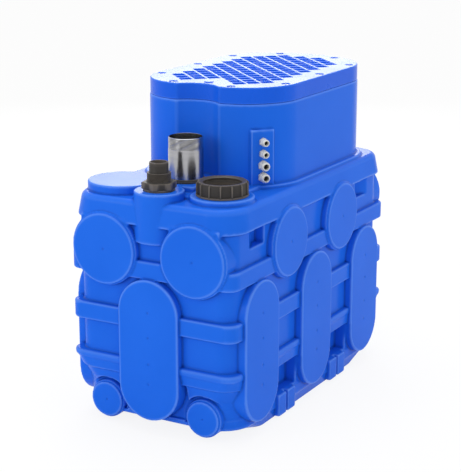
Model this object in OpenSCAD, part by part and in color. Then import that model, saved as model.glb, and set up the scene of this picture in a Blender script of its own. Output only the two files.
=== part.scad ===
// Sewage lifting station: a rotomoulded tank with a bolted lid, a pipe inlet,
// a vent adapter and a steel discharge nipple. Two submersible pumps, two ball
// check valves, a collector and two lever floats are inside.
// Millimetres, +Z up, origin at the bottom centre of the tank.
// The end with the column, the nipple and the pipe inlet faces -X.

/* [Tank] */
// Length over the raised pads
tank_l = 902; // [894:1:925]
// Width over the raised pads
tank_w = 496; // [490:1:515]
// Height of the deck above the floor
deck_z = 597; // [590:1:606]
// Wall thickness of the moulded tank
wall = 8; // [6:0.5:9]
// Corner radius of the belts
corner_r = 34; // [30:1:46]
// Corner radius of the wall between the belts
wall_r = 46; // [40:1:56]
// Corner radius of the shoulder and the deck
shoulder_r = 80; // [60:1:90]
// How far the pads stand out from the belts
pad_proud = 8.5; // [6:0.5:12]
// How far the belts stand out from the wall between them
belt_proud = 14; // [10:1:16]
// Underside of the lowest belt
belt_low_z = 142; // [138:1:146]
// Height of each belt
belt_h = 46; // [42:1:50]
// Spacing of the belts
belt_pitch = 130; // [126:1:132]
// Number of belts below the shoulder
belt_count = 3; // [2:1:3]
// Height of the sloped flank under the lowest belt
flank_h = 35; // [30:1:45]
// Height of the slanting lower part of the lowest belt
slant_h = 34; // [26:1:38]
// Underside of the shoulder
shoulder_z = 537; // [530:1:545]
// How far the shoulder stands out from the belts
shoulder_proud = 3; // [1:0.5:5]
// How far the shoulder draws in on its way up to the deck
shoulder_draft = 9; // [5:1:12]

/* [Base] */
// Distance from the face of the pads on an end to the flat underside
base_in_x = 166; // [150:1:180]
// Distance from the face of the pads on a side to the flat underside
base_in_y = 28; // [26:1:38]
// Corner radius of the flat underside
base_r = 34; // [30:1:50]
// Height of the rolled edge of the base
base_roll_h = 34; // [30:1:36]
// How much shorter than the belts the waist above the base is, at each end
waist_in_x = 26; // [20:1:30]
// How much narrower than the belts the waist above the base is, at each side
waist_in_y = 11; // [9:1:14]
// Corner radius of the waist
waist_r = 80; // [70:1:90]
// Top of the ledge under the low side pockets
ledge_z = 66; // [60:1:72]
// Depth of the low side pockets behind the belts
low_pocket_d = 42; // [36:1:48]
// Width of a pair of foot tabs
tab_w = 93; // [84:1:100]
// Gap between the two foot tabs of a pair
tab_gap = 10; // [8:1:12]
// Underside of the foot tabs
tab_low_z = 6; // [4:1:10]

/* [Pads] */
// Diameter of the round pads
pad_d = 180; // [174:1:184]
// Height of the centres of the round pads
pad_z = 467; // [462:1:472]
// Spacing of the two round pads on an end
end_pad_pitch = 257; // [250:1:262]
// Width of the backing block of a round pad
pad_block_w = 140; // [130:1:150]
// Width of the obround pads
obround_w = 173; // [168:1:177]
// Lowest point of the obround pads
obround_low_z = 38; // [36:1:42]
// Highest point of the obround pads
obround_top_z = 404; // [398:1:408]
// Spacing of the obround pads along a side
obround_pitch = 302; // [296:1:306]
// Place of the middle obround pad along the tank
obround_mid_x = -6; // [-8:1:0]
// Diameter of the low round pads on the ends
small_pad_d = 91; // [84:1:95]
// Height of the centres of the low round pads
small_pad_z = 60; // [56:1:64]
// Spacing of the two low round pads on an end
small_pad_pitch = 284; // [278:1:290]
// How far the low round pads stand out from the waist
small_pad_proud = 12; // [9:1:16]

/* [Handholds] */
// Width of a handhold under the shoulder
handhold_w = 82; // [76:1:90]
// Height of a handhold
handhold_h = 38; // [34:1:42]
// Depth of a handhold behind the wall
handhold_d = 26; // [20:1:30]
// Distance of the handholds' centres from the nearer end
handhold_gap = 167; // [161:1:171]

/* [Hood and lid] */
// Distance from the face of the side pads to the hood
hood_in_y = 40.5; // [39:0.5:43]
// Distance from the face of the end pads to the hood's round end
hood_end_gap = 6; // [6:1:11]
// Radius of the round end
hood_end_r = 242; // [236:1:250]
// Corner radius where the round end meets the sides
hood_end_corner_r = 160; // [150:1:166]
// Distance from the inlet end of the tank to the hood's flat front
hood_front_gap = 246; // [243:1:248]
// Corner radius at the front of the hood
hood_corner_r = 146.5; // [142:0.5:150]
// Radius of the notch round the nipple's axis
notch_r = 83; // [80:1:85]
// Width of the step around the foot of the hood
plinth_w = 14; // [10:1:18]
// Height of the step around the foot of the hood
plinth_h = 8.5; // [7:0.5:10]
// Height of the joint between hood and lid
seam_z = 810; // [800:1:830]
// Height of the lid
lid_h = 42; // [38:1:46]
// Thickness of the lid's top plate
lid_plate_t = 12; // [11:0.5:14]
// Thickness of the lid's skirt and ribs
lid_rib_t = 8; // [6:0.5:9]
// Width of the flange inside the mouth of the hood
flange_w = 46; // [44:1:50]
// Thickness of that flange
flange_t = 24; // [22:1:28]
// Thickness of the lid gasket
gasket_t = 3; // [2:0.5:4]
// Width of the rim outside the gasket
gasket_in = 9; // [8:0.5:11]
// Distance of the lid screws from the outline
screw_inset = 21; // [19:0.5:23]
// Thread diameter of the lid screws
screw_d = 8; // [8:0.5:9]
// Diameter of the recess round a lid screw's head
screw_recess_d = 22; // [20:0.5:23]
// Depth of that recess
screw_recess_h = 8; // [7.5:0.5:9]
// Pitch of the anti-slip pockets
grid_pitch = 37; // [35:0.5:40]
// Width of an anti-slip pocket
grid_pocket = 30; // [28:0.5:32]
// Depth of the anti-slip pockets
grid_depth = 4; // [3:0.5:6]
// Bare margin round the anti-slip pockets
grid_margin = 44; // [42:1:50]
// Diameter of the plug in the lid
plug_d = 24; // [20:1:26]
// Distance of that plug from the hood's flat front
plug_gap = 58; // [55:1:62]

/* [Deck fittings] */
// Diameter of the column that carries the vent adapter
column_d = 125; // [120:1:130]
// Height of the column and the nipple's pedestal above the deck
column_h = 22.5; // [20:0.5:26]
// Lowest point of the column
column_low_z = 494; // [488:1:500]
// Distance of the discharge nipple's axis from the inlet end
nipple_gap = 189; // [185:1:193]
// Width of the nipple's pedestal
pedestal_w = 125; // [120:1:130]
// Distance from the nipple's axis to the pedestal's front
pedestal_front = 68; // [64:1:72]
// Distance of the pipe inlet's axis from the inlet end
inlet_gap = 122; // [118:1:125]
// Distance of the pipe inlet's axis from the side
inlet_in_y = 104; // [101:1:106]
// Diameter of the inlet's boss
boss_d = 159; // [154:1:162]
// Height of the inlet's boss above the deck
boss_h = 14; // [12:0.5:16]
// Distance from the inlet end to the front edge of the deck step round the nipple
step_gap = 87; // [81:1:93]
// Width of that step
step_w = 332; // [326:1:336]

/* [Pipe inlet] */
// Bore for the inlet pipe, outer diameter 90
inlet_bore_d = 92; // [91:0.5:93]
// Outer diameter of the threaded collar
collar_d = 112; // [110:0.5:113]
// Height of the collar above the boss
collar_h = 21; // [18:0.5:23]
// Outer diameter of the ring nut over its ribs
nut_d = 131; // [129:0.5:134]
// Height of the ring nut
nut_h = 36; // [34:0.5:40]
// Hole in the ring nut
nut_hole_d = 95; // [94:0.5:97]
// Number of ribs on the ring nut
nut_ribs = 14; // [12:1:16]
// Inner diameter of the lip seal, with its lip pressed back
lip_d = 92.6; // [92.4:0.1:93]
// Thickness of the lip seal
lip_t = 4.5; // [4:0.5:5]

/* [Vent adapter] */
// Bore of the vent adapter
vent_bore_d = 39; // [36:0.5:40]
// Diameter of its plain end
vent_spigot_d = 47.8; // [47.8:0.2:50]
// Diameter of its upper thread
vent_thread_d = 59.6; // [59:0.2:60.4]
// Width of its hexagon across the flats
vent_hex_af = 76; // [74:0.5:78]
// Diameter of its flange
vent_flange_d = 79; // [78:0.5:84]
// Diameter of its lower thread
vent_tail_d = 47; // [46:0.5:48]

/* [Discharge] */
// Outer diameter of the steel nipple
nipple_d = 88.9; // [88.9:0.1:90]
// Wall of the steel nipple
nipple_wall = 3.2; // [2.8:0.1:4]
// Height of the nipple above its pedestal
nipple_h = 112; // [105:1:120]
// Outer diameter of the thread at the nipple's top
nipple_thread_d = 87.9; // [87.5:0.1:88.2]
// Length of that thread
nipple_thread_l = 30.5; // [26:0.5:36]
// Outer diameter of the nipple's seal
nipple_seal_d = 97; // [96:0.5:100]
// Height of the collector's axis
collector_z = 520; // [516:1:524]
// Outer diameter of the collector
collector_d = 76; // [74:0.5:80]
// Wall of the collector and the valve bodies
cast_wall = 4.5; // [4:0.5:5.5]
// Outer diameter of the riser pipes
riser_d = 48.3; // [48:0.1:49]
// Wall of the riser pipes
riser_wall = 3.2; // [2.8:0.1:3.6]
// Outer diameter of the pipe sockets
socket_d = 64; // [62:1:66]
// Length of thread in a pipe socket
socket_l = 22; // [18:1:24]

/* [Check valves] */
// Diameter of the valve ball
ball_d = 52; // [50:0.5:54]
// Travel of the valve ball along its pocket
ball_travel = 45; // [40:1:48]
// Height of the centre of the ball on its seat
ball_z = 362; // [358:1:366]
// Lean of the ball's pocket from the vertical
pocket_lean = 42; // [40:1:46]
// Bore of the seat
seat_d = 40; // [38:0.5:41]
// Underside of the valve body
valve_low_z = 300; // [296:1:304]
// Top of the valve body
valve_top_z = 460; // [456:1:464]

/* [Pumps] */
// Distance of the second pump's axis from the end away from the inlet
pump_end_gap = 151; // [149:1:153]
// Distance from the first pump to the second
pump_pitch = 230; // [228:1:236]
// Distance from a pump's axis to its riser pipe along the tank
pump_reach = 115; // [113:1:118]
// Distance from a pump's axis to the middle plane
pump_offset = 38; // [36:1:40]
// Outer radius of the volute
volute_r = 78; // [76:0.5:79]
// Radius of the volute's chamber
chamber_r = 62; // [60:0.5:64]
// Outer radius of the motor
motor_r = 70; // [68:0.5:70.5]
// Length of the motor housing
motor_l = 240; // [230:1:250]
// Wall of the motor housing
motor_wall = 8; // [6:0.5:9]
// Clear height under the pumps
pump_foot_h = 30; // [26:1:34]
// Radius of the shaft
shaft_r = 10; // [9:0.5:11]
// Radius of the impeller
impeller_r = 54; // [50:0.5:56]
// Number of impeller blades
impeller_blades = 6; // [5:1:8]
// Radius of the rotor core
core_r = 35; // [33:0.5:37]

/* [Floats] */
// Distance of the floats from the hood's flat front
float_gap = 75; // [71:1:79]
// Distance of the float pivots from the side of the hood
float_in_y = 87.5; // [86.5:0.5:89.5]
// Height of the start float's pivot
start_float_z = 200; // [190:1:230]
// Height of the alarm float's pivot
alarm_float_z = 440; // [420:1:450]
// Length from pivot to ball centre
lever_l = 110; // [106:1:112]
// Diameter of a float ball
float_d = 64; // [60:1:66]
// Diameter of a float's pivot pin
pin_d = 6; // [5:0.5:8]

/* [Cable glands] */
// Thread diameter of the two upper glands
small_gland_d = 16; // [12:1:16]
// Thread diameter of the two lower glands
large_gland_d = 20; // [18:1:20]
// Height of the lowest gland
gland_low_z = 626.5; // [624:0.5:630]
// Spacing of the glands
gland_pitch = 30; // [29:0.5:31]
// Width of the flat gland panel
panel_w = 62; // [58:1:66]
// Top of the gland panel
panel_top_z = 747; // [742:1:752]
// How far the panel's face lies outside the hood's corner
panel_proud = 5; // [4:0.5:6]
// How far the panel lies from the middle of the hood's corner, toward the front
panel_shift = 17; // [14:0.5:19]
// Thickness of the wall behind the panel
panel_t = 18; // [17.5:0.5:20]
// Direction that the panel faces, from +X
panel_turn = 231; // [228:1:234]

/* [Fits] */
// Running gap between a turning shaft and its bearing, on the radius
run_gap = 0.05; // [0.02:0.01:0.08]
// Clear gap between other moving pieces
move_gap = 0.4; // [0.3:0.05:0.6]
// Gap of pieces that are screwed or pushed together, on the radius
fit_gap = 0.1; // [0.05:0.05:0.2]

/* [Hidden] */
$fn = 72;
HULL_FN = 32;
HALF_L = tank_l / 2;
HALF_W = tank_w / 2;
BELT_L = tank_l - 2 * pad_proud;
BELT_W = tank_w - 2 * pad_proud;
WALL_L = BELT_L - 2 * belt_proud;
WALL_W = BELT_W - 2 * belt_proud;
DECK_L = BELT_L + 2 * (shoulder_proud - shoulder_draft);
DECK_W = BELT_W + 2 * (shoulder_proud - shoulder_draft);
BASE_L = tank_l - 2 * base_in_x;
BASE_W = tank_w - 2 * base_in_y;
WAIST_L = BELT_L - 2 * waist_in_x;
WAIST_W = BELT_W - 2 * waist_in_y;
BELT_TOP_Z = belt_low_z + (belt_count - 1) * belt_pitch + belt_h;
OBROUND_X = [for (k = [-1:1]) obround_mid_x + k * obround_pitch];
GAP_X = [for (k = [-1, 1]) obround_mid_x + k * obround_pitch / 2];
GAP_W = obround_pitch - obround_w;
COLUMN_X = column_d / 2 - HALF_L;
COLUMN_TOP = deck_z + column_h;
BOSS_TOP = deck_z + boss_h;
HANDHOLD_X = HALF_L - handhold_gap;
HOOD_W = tank_w - 2 * hood_in_y;
HOOD_FRONT_X = hood_front_gap - HALF_L;
NIPPLE_X = nipple_gap - HALF_L;
INLET_X = inlet_gap - HALF_L;
INLET_Y = HALF_W - inlet_in_y;
STEP_FRONT_X = step_gap - HALF_L;
PLUG_X = HOOD_FRONT_X + plug_gap;
FLOAT_X = HOOD_FRONT_X + float_gap;
FLOAT_Y = HOOD_W / 2 - float_in_y;
END_CX = HALF_L - hood_end_gap - hood_end_r;
HOOD_CY = HOOD_W / 2 - hood_end_corner_r;
HOOD_CX = END_CX + sqrt(pow(hood_end_r - hood_end_corner_r, 2) - HOOD_CY * HOOD_CY);
END_SLOPE = HOOD_CY / (HOOD_CX - END_CX);
CORNER_X = HOOD_FRONT_X + hood_corner_r;
CORNER_Y = HOOD_W / 2 - hood_corner_r;
FLANGE_Z = seam_z - flange_t;
GASKET_Z = seam_z - gasket_t;
LID_TOP = seam_z + lid_h;
HOLE_R = screw_d / 2 + 0.5;
INSERT_R = screw_d / 2 + 2.5;
INSERT_H = 18;
FRONT_R = hood_corner_r - screw_inset;
// Lid screws on the +Y side, from the front to the round end
SCREWS_HALF = [
    [CORNER_X - FRONT_R * cos(11), CORNER_Y + FRONT_R * sin(11)],
    [CORNER_X - FRONT_R * sin(9), CORNER_Y + FRONT_R * cos(9)],
    [(CORNER_X + HOOD_CX) / 2 + 5, HOOD_W / 2 - screw_inset],
    [HOOD_CX + (hood_end_corner_r - screw_inset) * cos(77),
        HOOD_CY + (hood_end_corner_r - screw_inset) * sin(77)],
    [END_CX + (hood_end_r - screw_inset) * cos(23), (hood_end_r - screw_inset) * sin(23)]
];
SCREWS = [for (p = SCREWS_HALF, s = [-1, 1]) [p[0], s * p[1]]];
VENT_GASKET_T = 2;
VENT_FLANGE_T = 3.5;
VENT_HEX_H = 16.5;
VENT_THREAD_H = 22.5;
VENT_SPIGOT_H = 26;
VENT_BASE = COLUMN_TOP + VENT_GASKET_T;
LOCKNUT_T = 8;
NIPPLE_R = nipple_d / 2;
NIPPLE_TOP = COLUMN_TOP + nipple_h;
NIPPLE_FOOT = collector_z + 22;
SOCKET_TOP = collector_z + 56;
NIPPLE_SOCKET_R = NIPPLE_R + cast_wall + 1.5;
PUMP_X = [HALF_L - pump_end_gap - pump_pitch, HALF_L - pump_end_gap];
PIPE_X = [for (x = PUMP_X) x - pump_reach];
PLATE_Z = wall + pump_foot_h;
PLATE_T = 10;
VOLUTE_Z = PLATE_Z + PLATE_T;
VOLUTE_H = 64;
VOLUTE_ROOF = 12;
OUTLET_Z = VOLUTE_Z + 26;
OUTLET_R = 25;
OUTLET_BORE_R = 20;
OUTLET_FLANGE_X = 88;
OUTLET_FLANGE_R = 38;
FLANGE_PLATE_T = 8;
ELBOW_TOP = OUTLET_Z + OUTLET_FLANGE_R + socket_l + 6;
BRACKET_Z = VOLUTE_Z + VOLUTE_H;
BRACKET_H = 40;
MOTOR_Z = BRACKET_Z + BRACKET_H;
COVER_Z = MOTOR_Z + motor_l;
COVER_T = 24;
BEARING_R = shaft_r + 10;
SEAL_R = shaft_r + 8;
BEARING_H = 12;
CORE_Z = MOTOR_Z + 40;
CORE_H = motor_l - 100;
SHAFT_LOW = VOLUTE_Z + 10;
SHAFT_TOP = COVER_Z + BEARING_H - 1;
IMPELLER_Z = VOLUTE_Z + 12;
BLADE_H = 20;
POCKET_R = ball_d / 2 + 1;
POCKET_WALL = 7;
POCKET_FLANGE_R = POCKET_R + 15;
POCKET_L = (socket_d / 2 + 2 + POCKET_FLANGE_R * cos(pocket_lean)) / sin(pocket_lean);
STOP_L = POCKET_L - ball_travel - ball_d / 2 - 1;
POCKET_SCREW_R = POCKET_R + 9.5;
POCKET_COVER_T = 8;
M6_R = 3;
M6_L = 14;
M6_HEAD_R = 5;
M6_HEAD_H = 6;
SWITCH_W = 46;
SWITCH_H = 50;
SWITCH_GAP = 12;
RAIL_T = 4;
RAIL_W = 30;
RAIL_Y = FLOAT_Y + 42;
RAIL_BELOW = 20;
RAIL_FOOT = 24;
RAIL_HOLE = 14;
EYE_R = pin_d / 2 + 6;
EYE_W = 10;
EAR_T = 5;
LEVER_R = 4;
PANEL_FACE = hood_corner_r + panel_proud;
GLAND_STAND = 24;
GLAND_D = [small_gland_d, small_gland_d, large_gland_d, large_gland_d];
GLAND_Z = [for (k = [3:-1:0]) gland_low_z + k * gland_pitch];
FLOAT_Z = [start_float_z, alarm_float_z];

// Outlines and solids that several pieces share

// Rectangle with round corners, centred
module round_rect(l, w, r) {
    square([l - 2 * r, w], center = true);
    square([l, w - 2 * r], center = true);
    for (x = [-1, 1], y = [-1, 1])
        translate([x * (l / 2 - r), y * (w / 2 - r)]) circle(r = r);
}

// Upright prism on the round rectangle, from height a to height b
module block(l, w, r, a, b) {
    translate([0, 0, a]) linear_extrude(b - a) round_rect(l, w, r);
}

// Sloping band between two round rectangles
module band(l1, w1, r1, z1, l2, w2, r2, z2) {
    hull() {
        block(l1, w1, r1, z1, z1 + 1, $fn = HULL_FN);
        block(l2, w2, r2, z2 - 1, z2, $fn = HULL_FN);
    }
}

// Ring with an outer and an inner radius, from height a to height b
module ring(ro, ri, a, b) {
    difference() {
        translate([0, 0, a]) cylinder(r = ro, h = b - a);
        translate([0, 0, a - 1]) cylinder(r = ri, h = b - a + 2);
    }
}

// Outline of the hood and the lid, grown by g
module hood_outline(g) {
    difference() {
        union() {
            for (s = [-1, 1]) {
                translate([CORNER_X, s * CORNER_Y]) circle(r = hood_corner_r + g);
                translate([HOOD_CX, s * HOOD_CY]) circle(r = hood_end_corner_r + g);
            }
            intersection() {
                translate([END_CX, 0]) circle(r = hood_end_r + g);
                polygon([[END_CX, 0], [END_CX + tank_l, -END_SLOPE * tank_l],
                    [END_CX + tank_l, END_SLOPE * tank_l]]);
            }
            translate([CORNER_X, -HOOD_W / 2 - g])
                square([HOOD_CX - CORNER_X, HOOD_W + 2 * g]);
            translate([HOOD_FRONT_X - g, -CORNER_Y])
                square([hood_corner_r + g, 2 * CORNER_Y]);
        }
        translate([NIPPLE_X, 0]) circle(r = notch_r - g);
    }
}

// Prism on the hood's outline grown by g, from height a to height b
module hood_block(g, a, b) {
    translate([0, 0, a]) linear_extrude(b - a) hood_outline(g);
}

// Copies on both ends or both sides
module both_ends() {
    for (t = [0, 180]) rotate([0, 0, t]) children();
}
module both_sides() {
    for (s = [0, 1]) mirror([0, s, 0]) children();
}

// The tank's outer form, drawn in by i, so that form(0) less form(wall) is the shell

module round_pad(r, z, face, root) {
    translate([root, 0, z]) rotate([0, 90, 0]) cylinder(r = r, h = face - root);
}

module obround_pad(i, face, root) {
    r = obround_w / 2;
    translate([root, 0, 0]) rotate([0, 90, 0]) linear_extrude(face - root) {
        for (z = [obround_low_z + r, obround_top_z - r])
            translate([-z, 0]) circle(r = r - i);
        translate([r - obround_top_z, i - r])
            square([obround_top_z - obround_low_z - obround_w, obround_w - 2 * i]);
    }
}

module end_pads(i) {
    root = WALL_L / 2 - 40;
    for (s = [-1, 1]) {
        translate([0, s * end_pad_pitch / 2, 0])
            round_pad(pad_d / 2 - i, pad_z, HALF_L - i, root);
        translate([0, s * small_pad_pitch / 2, 0])
            round_pad(small_pad_d / 2 - i, small_pad_z,
                WAIST_L / 2 + small_pad_proud - i, BASE_L / 2 + 20);
        translate([root, s * end_pad_pitch / 2 - pad_block_w / 2 + i, BELT_TOP_Z - belt_h / 2])
            cube([BELT_L / 2 - i - root, pad_block_w - 2 * i, shoulder_z - BELT_TOP_Z + belt_h / 2 + 10]);
    }
    obround_pad(i, HALF_L - i, WAIST_L / 2 - 60);
}

module side_pads(i) {
    root = WALL_W / 2 - 20;
    for (x = OBROUND_X) translate([x, 0, 0]) rotate([0, 0, -90])
        obround_pad(i, HALF_W - i, WALL_W / 2 - 60);
    for (x = GAP_X) {
        translate([x, 0, 0]) rotate([0, 0, -90])
            round_pad(pad_d / 2 - i, pad_z, HALF_W - i, root);
        translate([x - pad_block_w / 2 + i, i - BELT_W / 2, BELT_TOP_Z - belt_h / 2])
            cube([pad_block_w - 2 * i, BELT_W / 2 - i - root,
                shoulder_z - BELT_TOP_Z + belt_h / 2 + 10]);
        difference() {
            translate([x - tab_w / 2 + i, i - BELT_W / 2, tab_low_z + i])
                cube([tab_w - 2 * i, 60, ledge_z - tab_low_z - 2 * i]);
            translate([x - tab_gap / 2 - i, -BELT_W / 2 - 1, 0])
                cube([tab_gap + 2 * i, waist_in_y + 1 + i, ledge_z + 1]);
        }
    }
}

// Pockets on the long sides, grown by i where the form is drawn in by i
module side_pockets(i) {
    pocket_y = BELT_W / 2 - low_pocket_d - i;
    for (x = GAP_X)
        translate([x - GAP_W / 2 - i, -HALF_W, ledge_z - i])
            cube([GAP_W + 2 * i, HALF_W - pocket_y, belt_low_z - ledge_z + 2 * i]);
    for (s = [-1, 1])
        translate([s * HANDHOLD_X - handhold_w / 2 - i, -HALF_W,
                shoulder_z - handhold_h - i])
            cube([handhold_w + 2 * i, HALF_W - WALL_W / 2 + handhold_d + i,
                handhold_h + 2 * i]);
}

module tank_form(i) {
    difference() {
        union() {
            band(BASE_L - 2 * i, BASE_W - 2 * i, base_r - i, i,
                WAIST_L - 2 * i, WAIST_W - 2 * i, waist_r - i, base_roll_h + i);
            block(WAIST_L - 2 * i, WAIST_W - 2 * i, waist_r - i, base_roll_h + i, belt_low_z + 1);
            band(WAIST_L - 2 * i, WAIST_W - 2 * i, waist_r - i, belt_low_z - flank_h + i,
                BELT_L - 2 * i, BELT_W - 2 * i, corner_r - i, belt_low_z + slant_h + 1);
            block(WALL_L - 2 * i, WALL_W - 2 * i, wall_r - i, belt_low_z, shoulder_z + 20);
            for (k = [0:belt_count - 1])
                block(BELT_L - 2 * i, BELT_W - 2 * i, corner_r - i,
                    belt_low_z + k * belt_pitch + (k == 0 ? slant_h : i),
                    belt_low_z + k * belt_pitch + belt_h - i);
            band(BELT_L + 2 * (shoulder_proud - i), BELT_W + 2 * (shoulder_proud - i),
                shoulder_r - i, shoulder_z + i,
                DECK_L - 2 * i, DECK_W - 2 * i, shoulder_r - i, deck_z - i);
            both_ends() end_pads(i);
            both_sides() side_pads(i);
        }
        both_sides() side_pockets(i);
    }
    translate([COLUMN_X, 0, column_low_z + i])
        cylinder(r = column_d / 2 - i, h = COLUMN_TOP - column_low_z - 2 * i);
    translate([NIPPLE_X - pedestal_front + i, i - pedestal_w / 2, shoulder_z + 20])
        cube([pedestal_front + notch_r + 10, pedestal_w - 2 * i,
            COLUMN_TOP - i - shoulder_z - 20]);
    translate([INLET_X, INLET_Y, shoulder_z + 20])
        cylinder(r = pad_d / 2 - i, h = COLUMN_TOP - i - shoulder_z - 20);
    translate([INLET_X, -INLET_Y, shoulder_z + 20])
        cylinder(r = boss_d / 2 - i, h = BOSS_TOP - i - shoulder_z - 20);
    translate([STEP_FRONT_X + i, i - step_w / 2, shoulder_z + 20])
        cube([CORNER_X - STEP_FRONT_X - 2 * i, step_w - 2 * i, deck_z + plinth_h - i - shoulder_z - 20]);
    intersection() {
        hood_block(plinth_w - i, shoulder_z + 20, deck_z + plinth_h - i);
        block(DECK_L - 2 * i, DECK_W - 2 * i, shoulder_r - i, shoulder_z, deck_z + plinth_h);
    }
    hood_block(-i, shoulder_z + i, seam_z);
}

// Places a piece on the gland panel: its z axis points out of the panel's face
module on_panel(z) {
    translate([CORNER_X, -CORNER_Y, z]) rotate([0, 0, panel_turn])
        translate([PANEL_FACE, -panel_shift, 0]) rotate([0, 90, 0]) children();
}

module gland_panel() {
    low = deck_z + plinth_h;
    on_panel((low + panel_top_z) / 2)
        translate([low / 2 - panel_top_z / 2, -panel_w / 2, -panel_t])
            cube([panel_top_z - low, panel_w, panel_t]);
}

module tank() {
    color([0.13, 0.36, 0.86])
    difference() {
        union() {
            tank_form(0);
            gland_panel();
        }
        difference() {
            tank_form(wall);
            translate([0, 0, FLANGE_Z]) cube([2 * tank_l, 2 * tank_w, 2 * flange_t], center = true);
            gland_panel();
        }
        difference() {
            hood_block(-wall, FLANGE_Z - flange_t - 1, FLANGE_Z);
            gland_panel();
        }
        hood_block(-flange_w, FLANGE_Z - 1, seam_z + 1);
        hood_block(-gasket_in, GASKET_Z, seam_z + 1);
        for (p = SCREWS) translate([p[0], p[1], GASKET_Z - INSERT_H - 1])
            cylinder(r = INSERT_R + fit_gap, h = INSERT_H + 2);
        translate([COLUMN_X, 0, COLUMN_TOP - wall - 1])
            cylinder(r = vent_tail_d / 2 + fit_gap, h = wall + 2);
        translate([NIPPLE_X, 0, COLUMN_TOP - wall - 1])
            cylinder(r = NIPPLE_R + 2.5 + fit_gap, h = wall + 2);
        translate([INLET_X, -INLET_Y, BOSS_TOP - wall - 1])
            cylinder(r = collar_d / 2 + fit_gap, h = wall + 2);
        for (k = [0:len(GLAND_Z) - 1]) on_panel(GLAND_Z[k])
            translate([0, 0, -panel_t - 8]) cylinder(r = GLAND_D[k] / 2 + fit_gap, h = panel_t + 9);
        for (x = [-1, 1]) translate([FLOAT_X + x * RAIL_W / 4, RAIL_Y - RAIL_HOLE, FLANGE_Z - 1])
            cylinder(r = M6_R + fit_gap, h = M6_L - RAIL_T + 2);
    }
}

// Lid, its joint and its screws

// True where a point lies inside the hood's outline drawn in by m
function in_hood(x, y, m) =
    abs(y) <= HOOD_W / 2 - m && x >= HOOD_FRONT_X + m
    && (x <= HOOD_CX || (abs(y) < END_SLOPE * (x - END_CX)
        ? norm([x - END_CX, y]) <= hood_end_r - m
        : norm([x - HOOD_CX, abs(y) - HOOD_CY]) <= hood_end_corner_r - m))
    && (x >= CORNER_X || abs(y) <= CORNER_Y
        || norm([x - CORNER_X, abs(y) - CORNER_Y]) <= hood_corner_r - m)
    && norm([x - NIPPLE_X, y]) >= notch_r + m
    && norm([x - PLUG_X, y]) >= plug_d;

module lid() {
    reach = ceil(tank_l / grid_pitch);
    half_diag = grid_pocket / sqrt(2);
    step = grid_pitch / sqrt(2);
    color([0.16, 0.40, 0.88])
    difference() {
        union() {
            hood_block(0, LID_TOP - lid_plate_t, LID_TOP);
            difference() {
                hood_block(0, seam_z, LID_TOP);
                hood_block(-lid_rib_t, seam_z - 1, LID_TOP);
            }
            difference() {
                hood_block(lid_rib_t - flange_w, seam_z, LID_TOP);
                hood_block(-flange_w, seam_z - 1, LID_TOP);
            }
            for (p = SCREWS) translate([p[0], p[1], seam_z])
                cylinder(r = HOLE_R + lid_rib_t, h = lid_h - 1);
        }
        for (p = SCREWS) {
            translate([p[0], p[1], seam_z - 1]) cylinder(r = HOLE_R, h = lid_h + 2);
            translate([p[0], p[1], LID_TOP - screw_recess_h])
                cylinder(r = screw_recess_d / 2, h = screw_recess_h + 1);
        }
        translate([PLUG_X, 0, LID_TOP - lid_plate_t - 1])
            cylinder(r = plug_d / 2 - 4, h = lid_plate_t + 2);
        for (a = [-reach:reach], b = [-reach:reach]) {
            x = (a + b) * step;
            y = (a - b) * step;
            if (in_hood(x + half_diag, y, grid_margin) && in_hood(x - half_diag, y, grid_margin)
                && in_hood(x, y + half_diag, grid_margin) && in_hood(x, y - half_diag, grid_margin))
                translate([x, y, LID_TOP]) rotate([0, 0, 45])
                    cube([grid_pocket, grid_pocket, 2 * grid_depth], center = true);
        }
    }
}

module lid_gasket() {
    color([0.12, 0.12, 0.12])
    difference() {
        hood_block(-gasket_in - fit_gap, GASKET_Z, seam_z);
        hood_block(-flange_w, GASKET_Z - 1, seam_z + 1);
        for (p = SCREWS) translate([p[0], p[1], GASKET_Z - 1])
            cylinder(r = HOLE_R, h = gasket_t + 2);
    }
}

module lid_screws() {
    seat = LID_TOP - screw_recess_h;
    color([0.72, 0.73, 0.74])
    for (p = SCREWS) translate([p[0], p[1], 0]) {
        translate([0, 0, GASKET_Z - INSERT_H + 2])
            cylinder(r = screw_d / 2, h = seat - GASKET_Z + INSERT_H - 1);
        difference() {
            translate([0, 0, seat]) cylinder(r = screw_d * 0.8, h = screw_d * 0.75);
            translate([0, 0, seat + screw_d * 0.3]) cylinder(r = screw_d * 0.42, h = screw_d, $fn = 6);
        }
    }
}

module lid_inserts() {
    color([0.78, 0.62, 0.30])
    for (p = SCREWS) translate([p[0], p[1], 0])
        ring(INSERT_R, screw_d / 2 + fit_gap, GASKET_Z - INSERT_H, GASKET_Z);
}

module lid_plug() {
    color([0.18, 0.40, 0.86])
    translate([PLUG_X, 0, 0]) {
        translate([0, 0, LID_TOP]) cylinder(r = plug_d / 2, h = 2);
        translate([0, 0, LID_TOP - lid_plate_t])
            cylinder(r = plug_d / 2 - 4 - fit_gap, h = lid_plate_t + 1);
    }
}

// Pipe inlet

module at_inlet() {
    translate([INLET_X, -INLET_Y, BOSS_TOP]) children();
}

module inlet_collar() {
    color([0.16, 0.15, 0.14])
    at_inlet() {
        ring(collar_d / 2, inlet_bore_d / 2, -wall - 14, collar_h);
        ring(collar_d / 2 + 9, inlet_bore_d / 2, -wall - 5, -wall);
    }
}

module inlet_lip_seal() {
    color([0.08, 0.08, 0.08])
    at_inlet() ring(collar_d / 2, lip_d / 2, collar_h, collar_h + lip_t);
}

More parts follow.
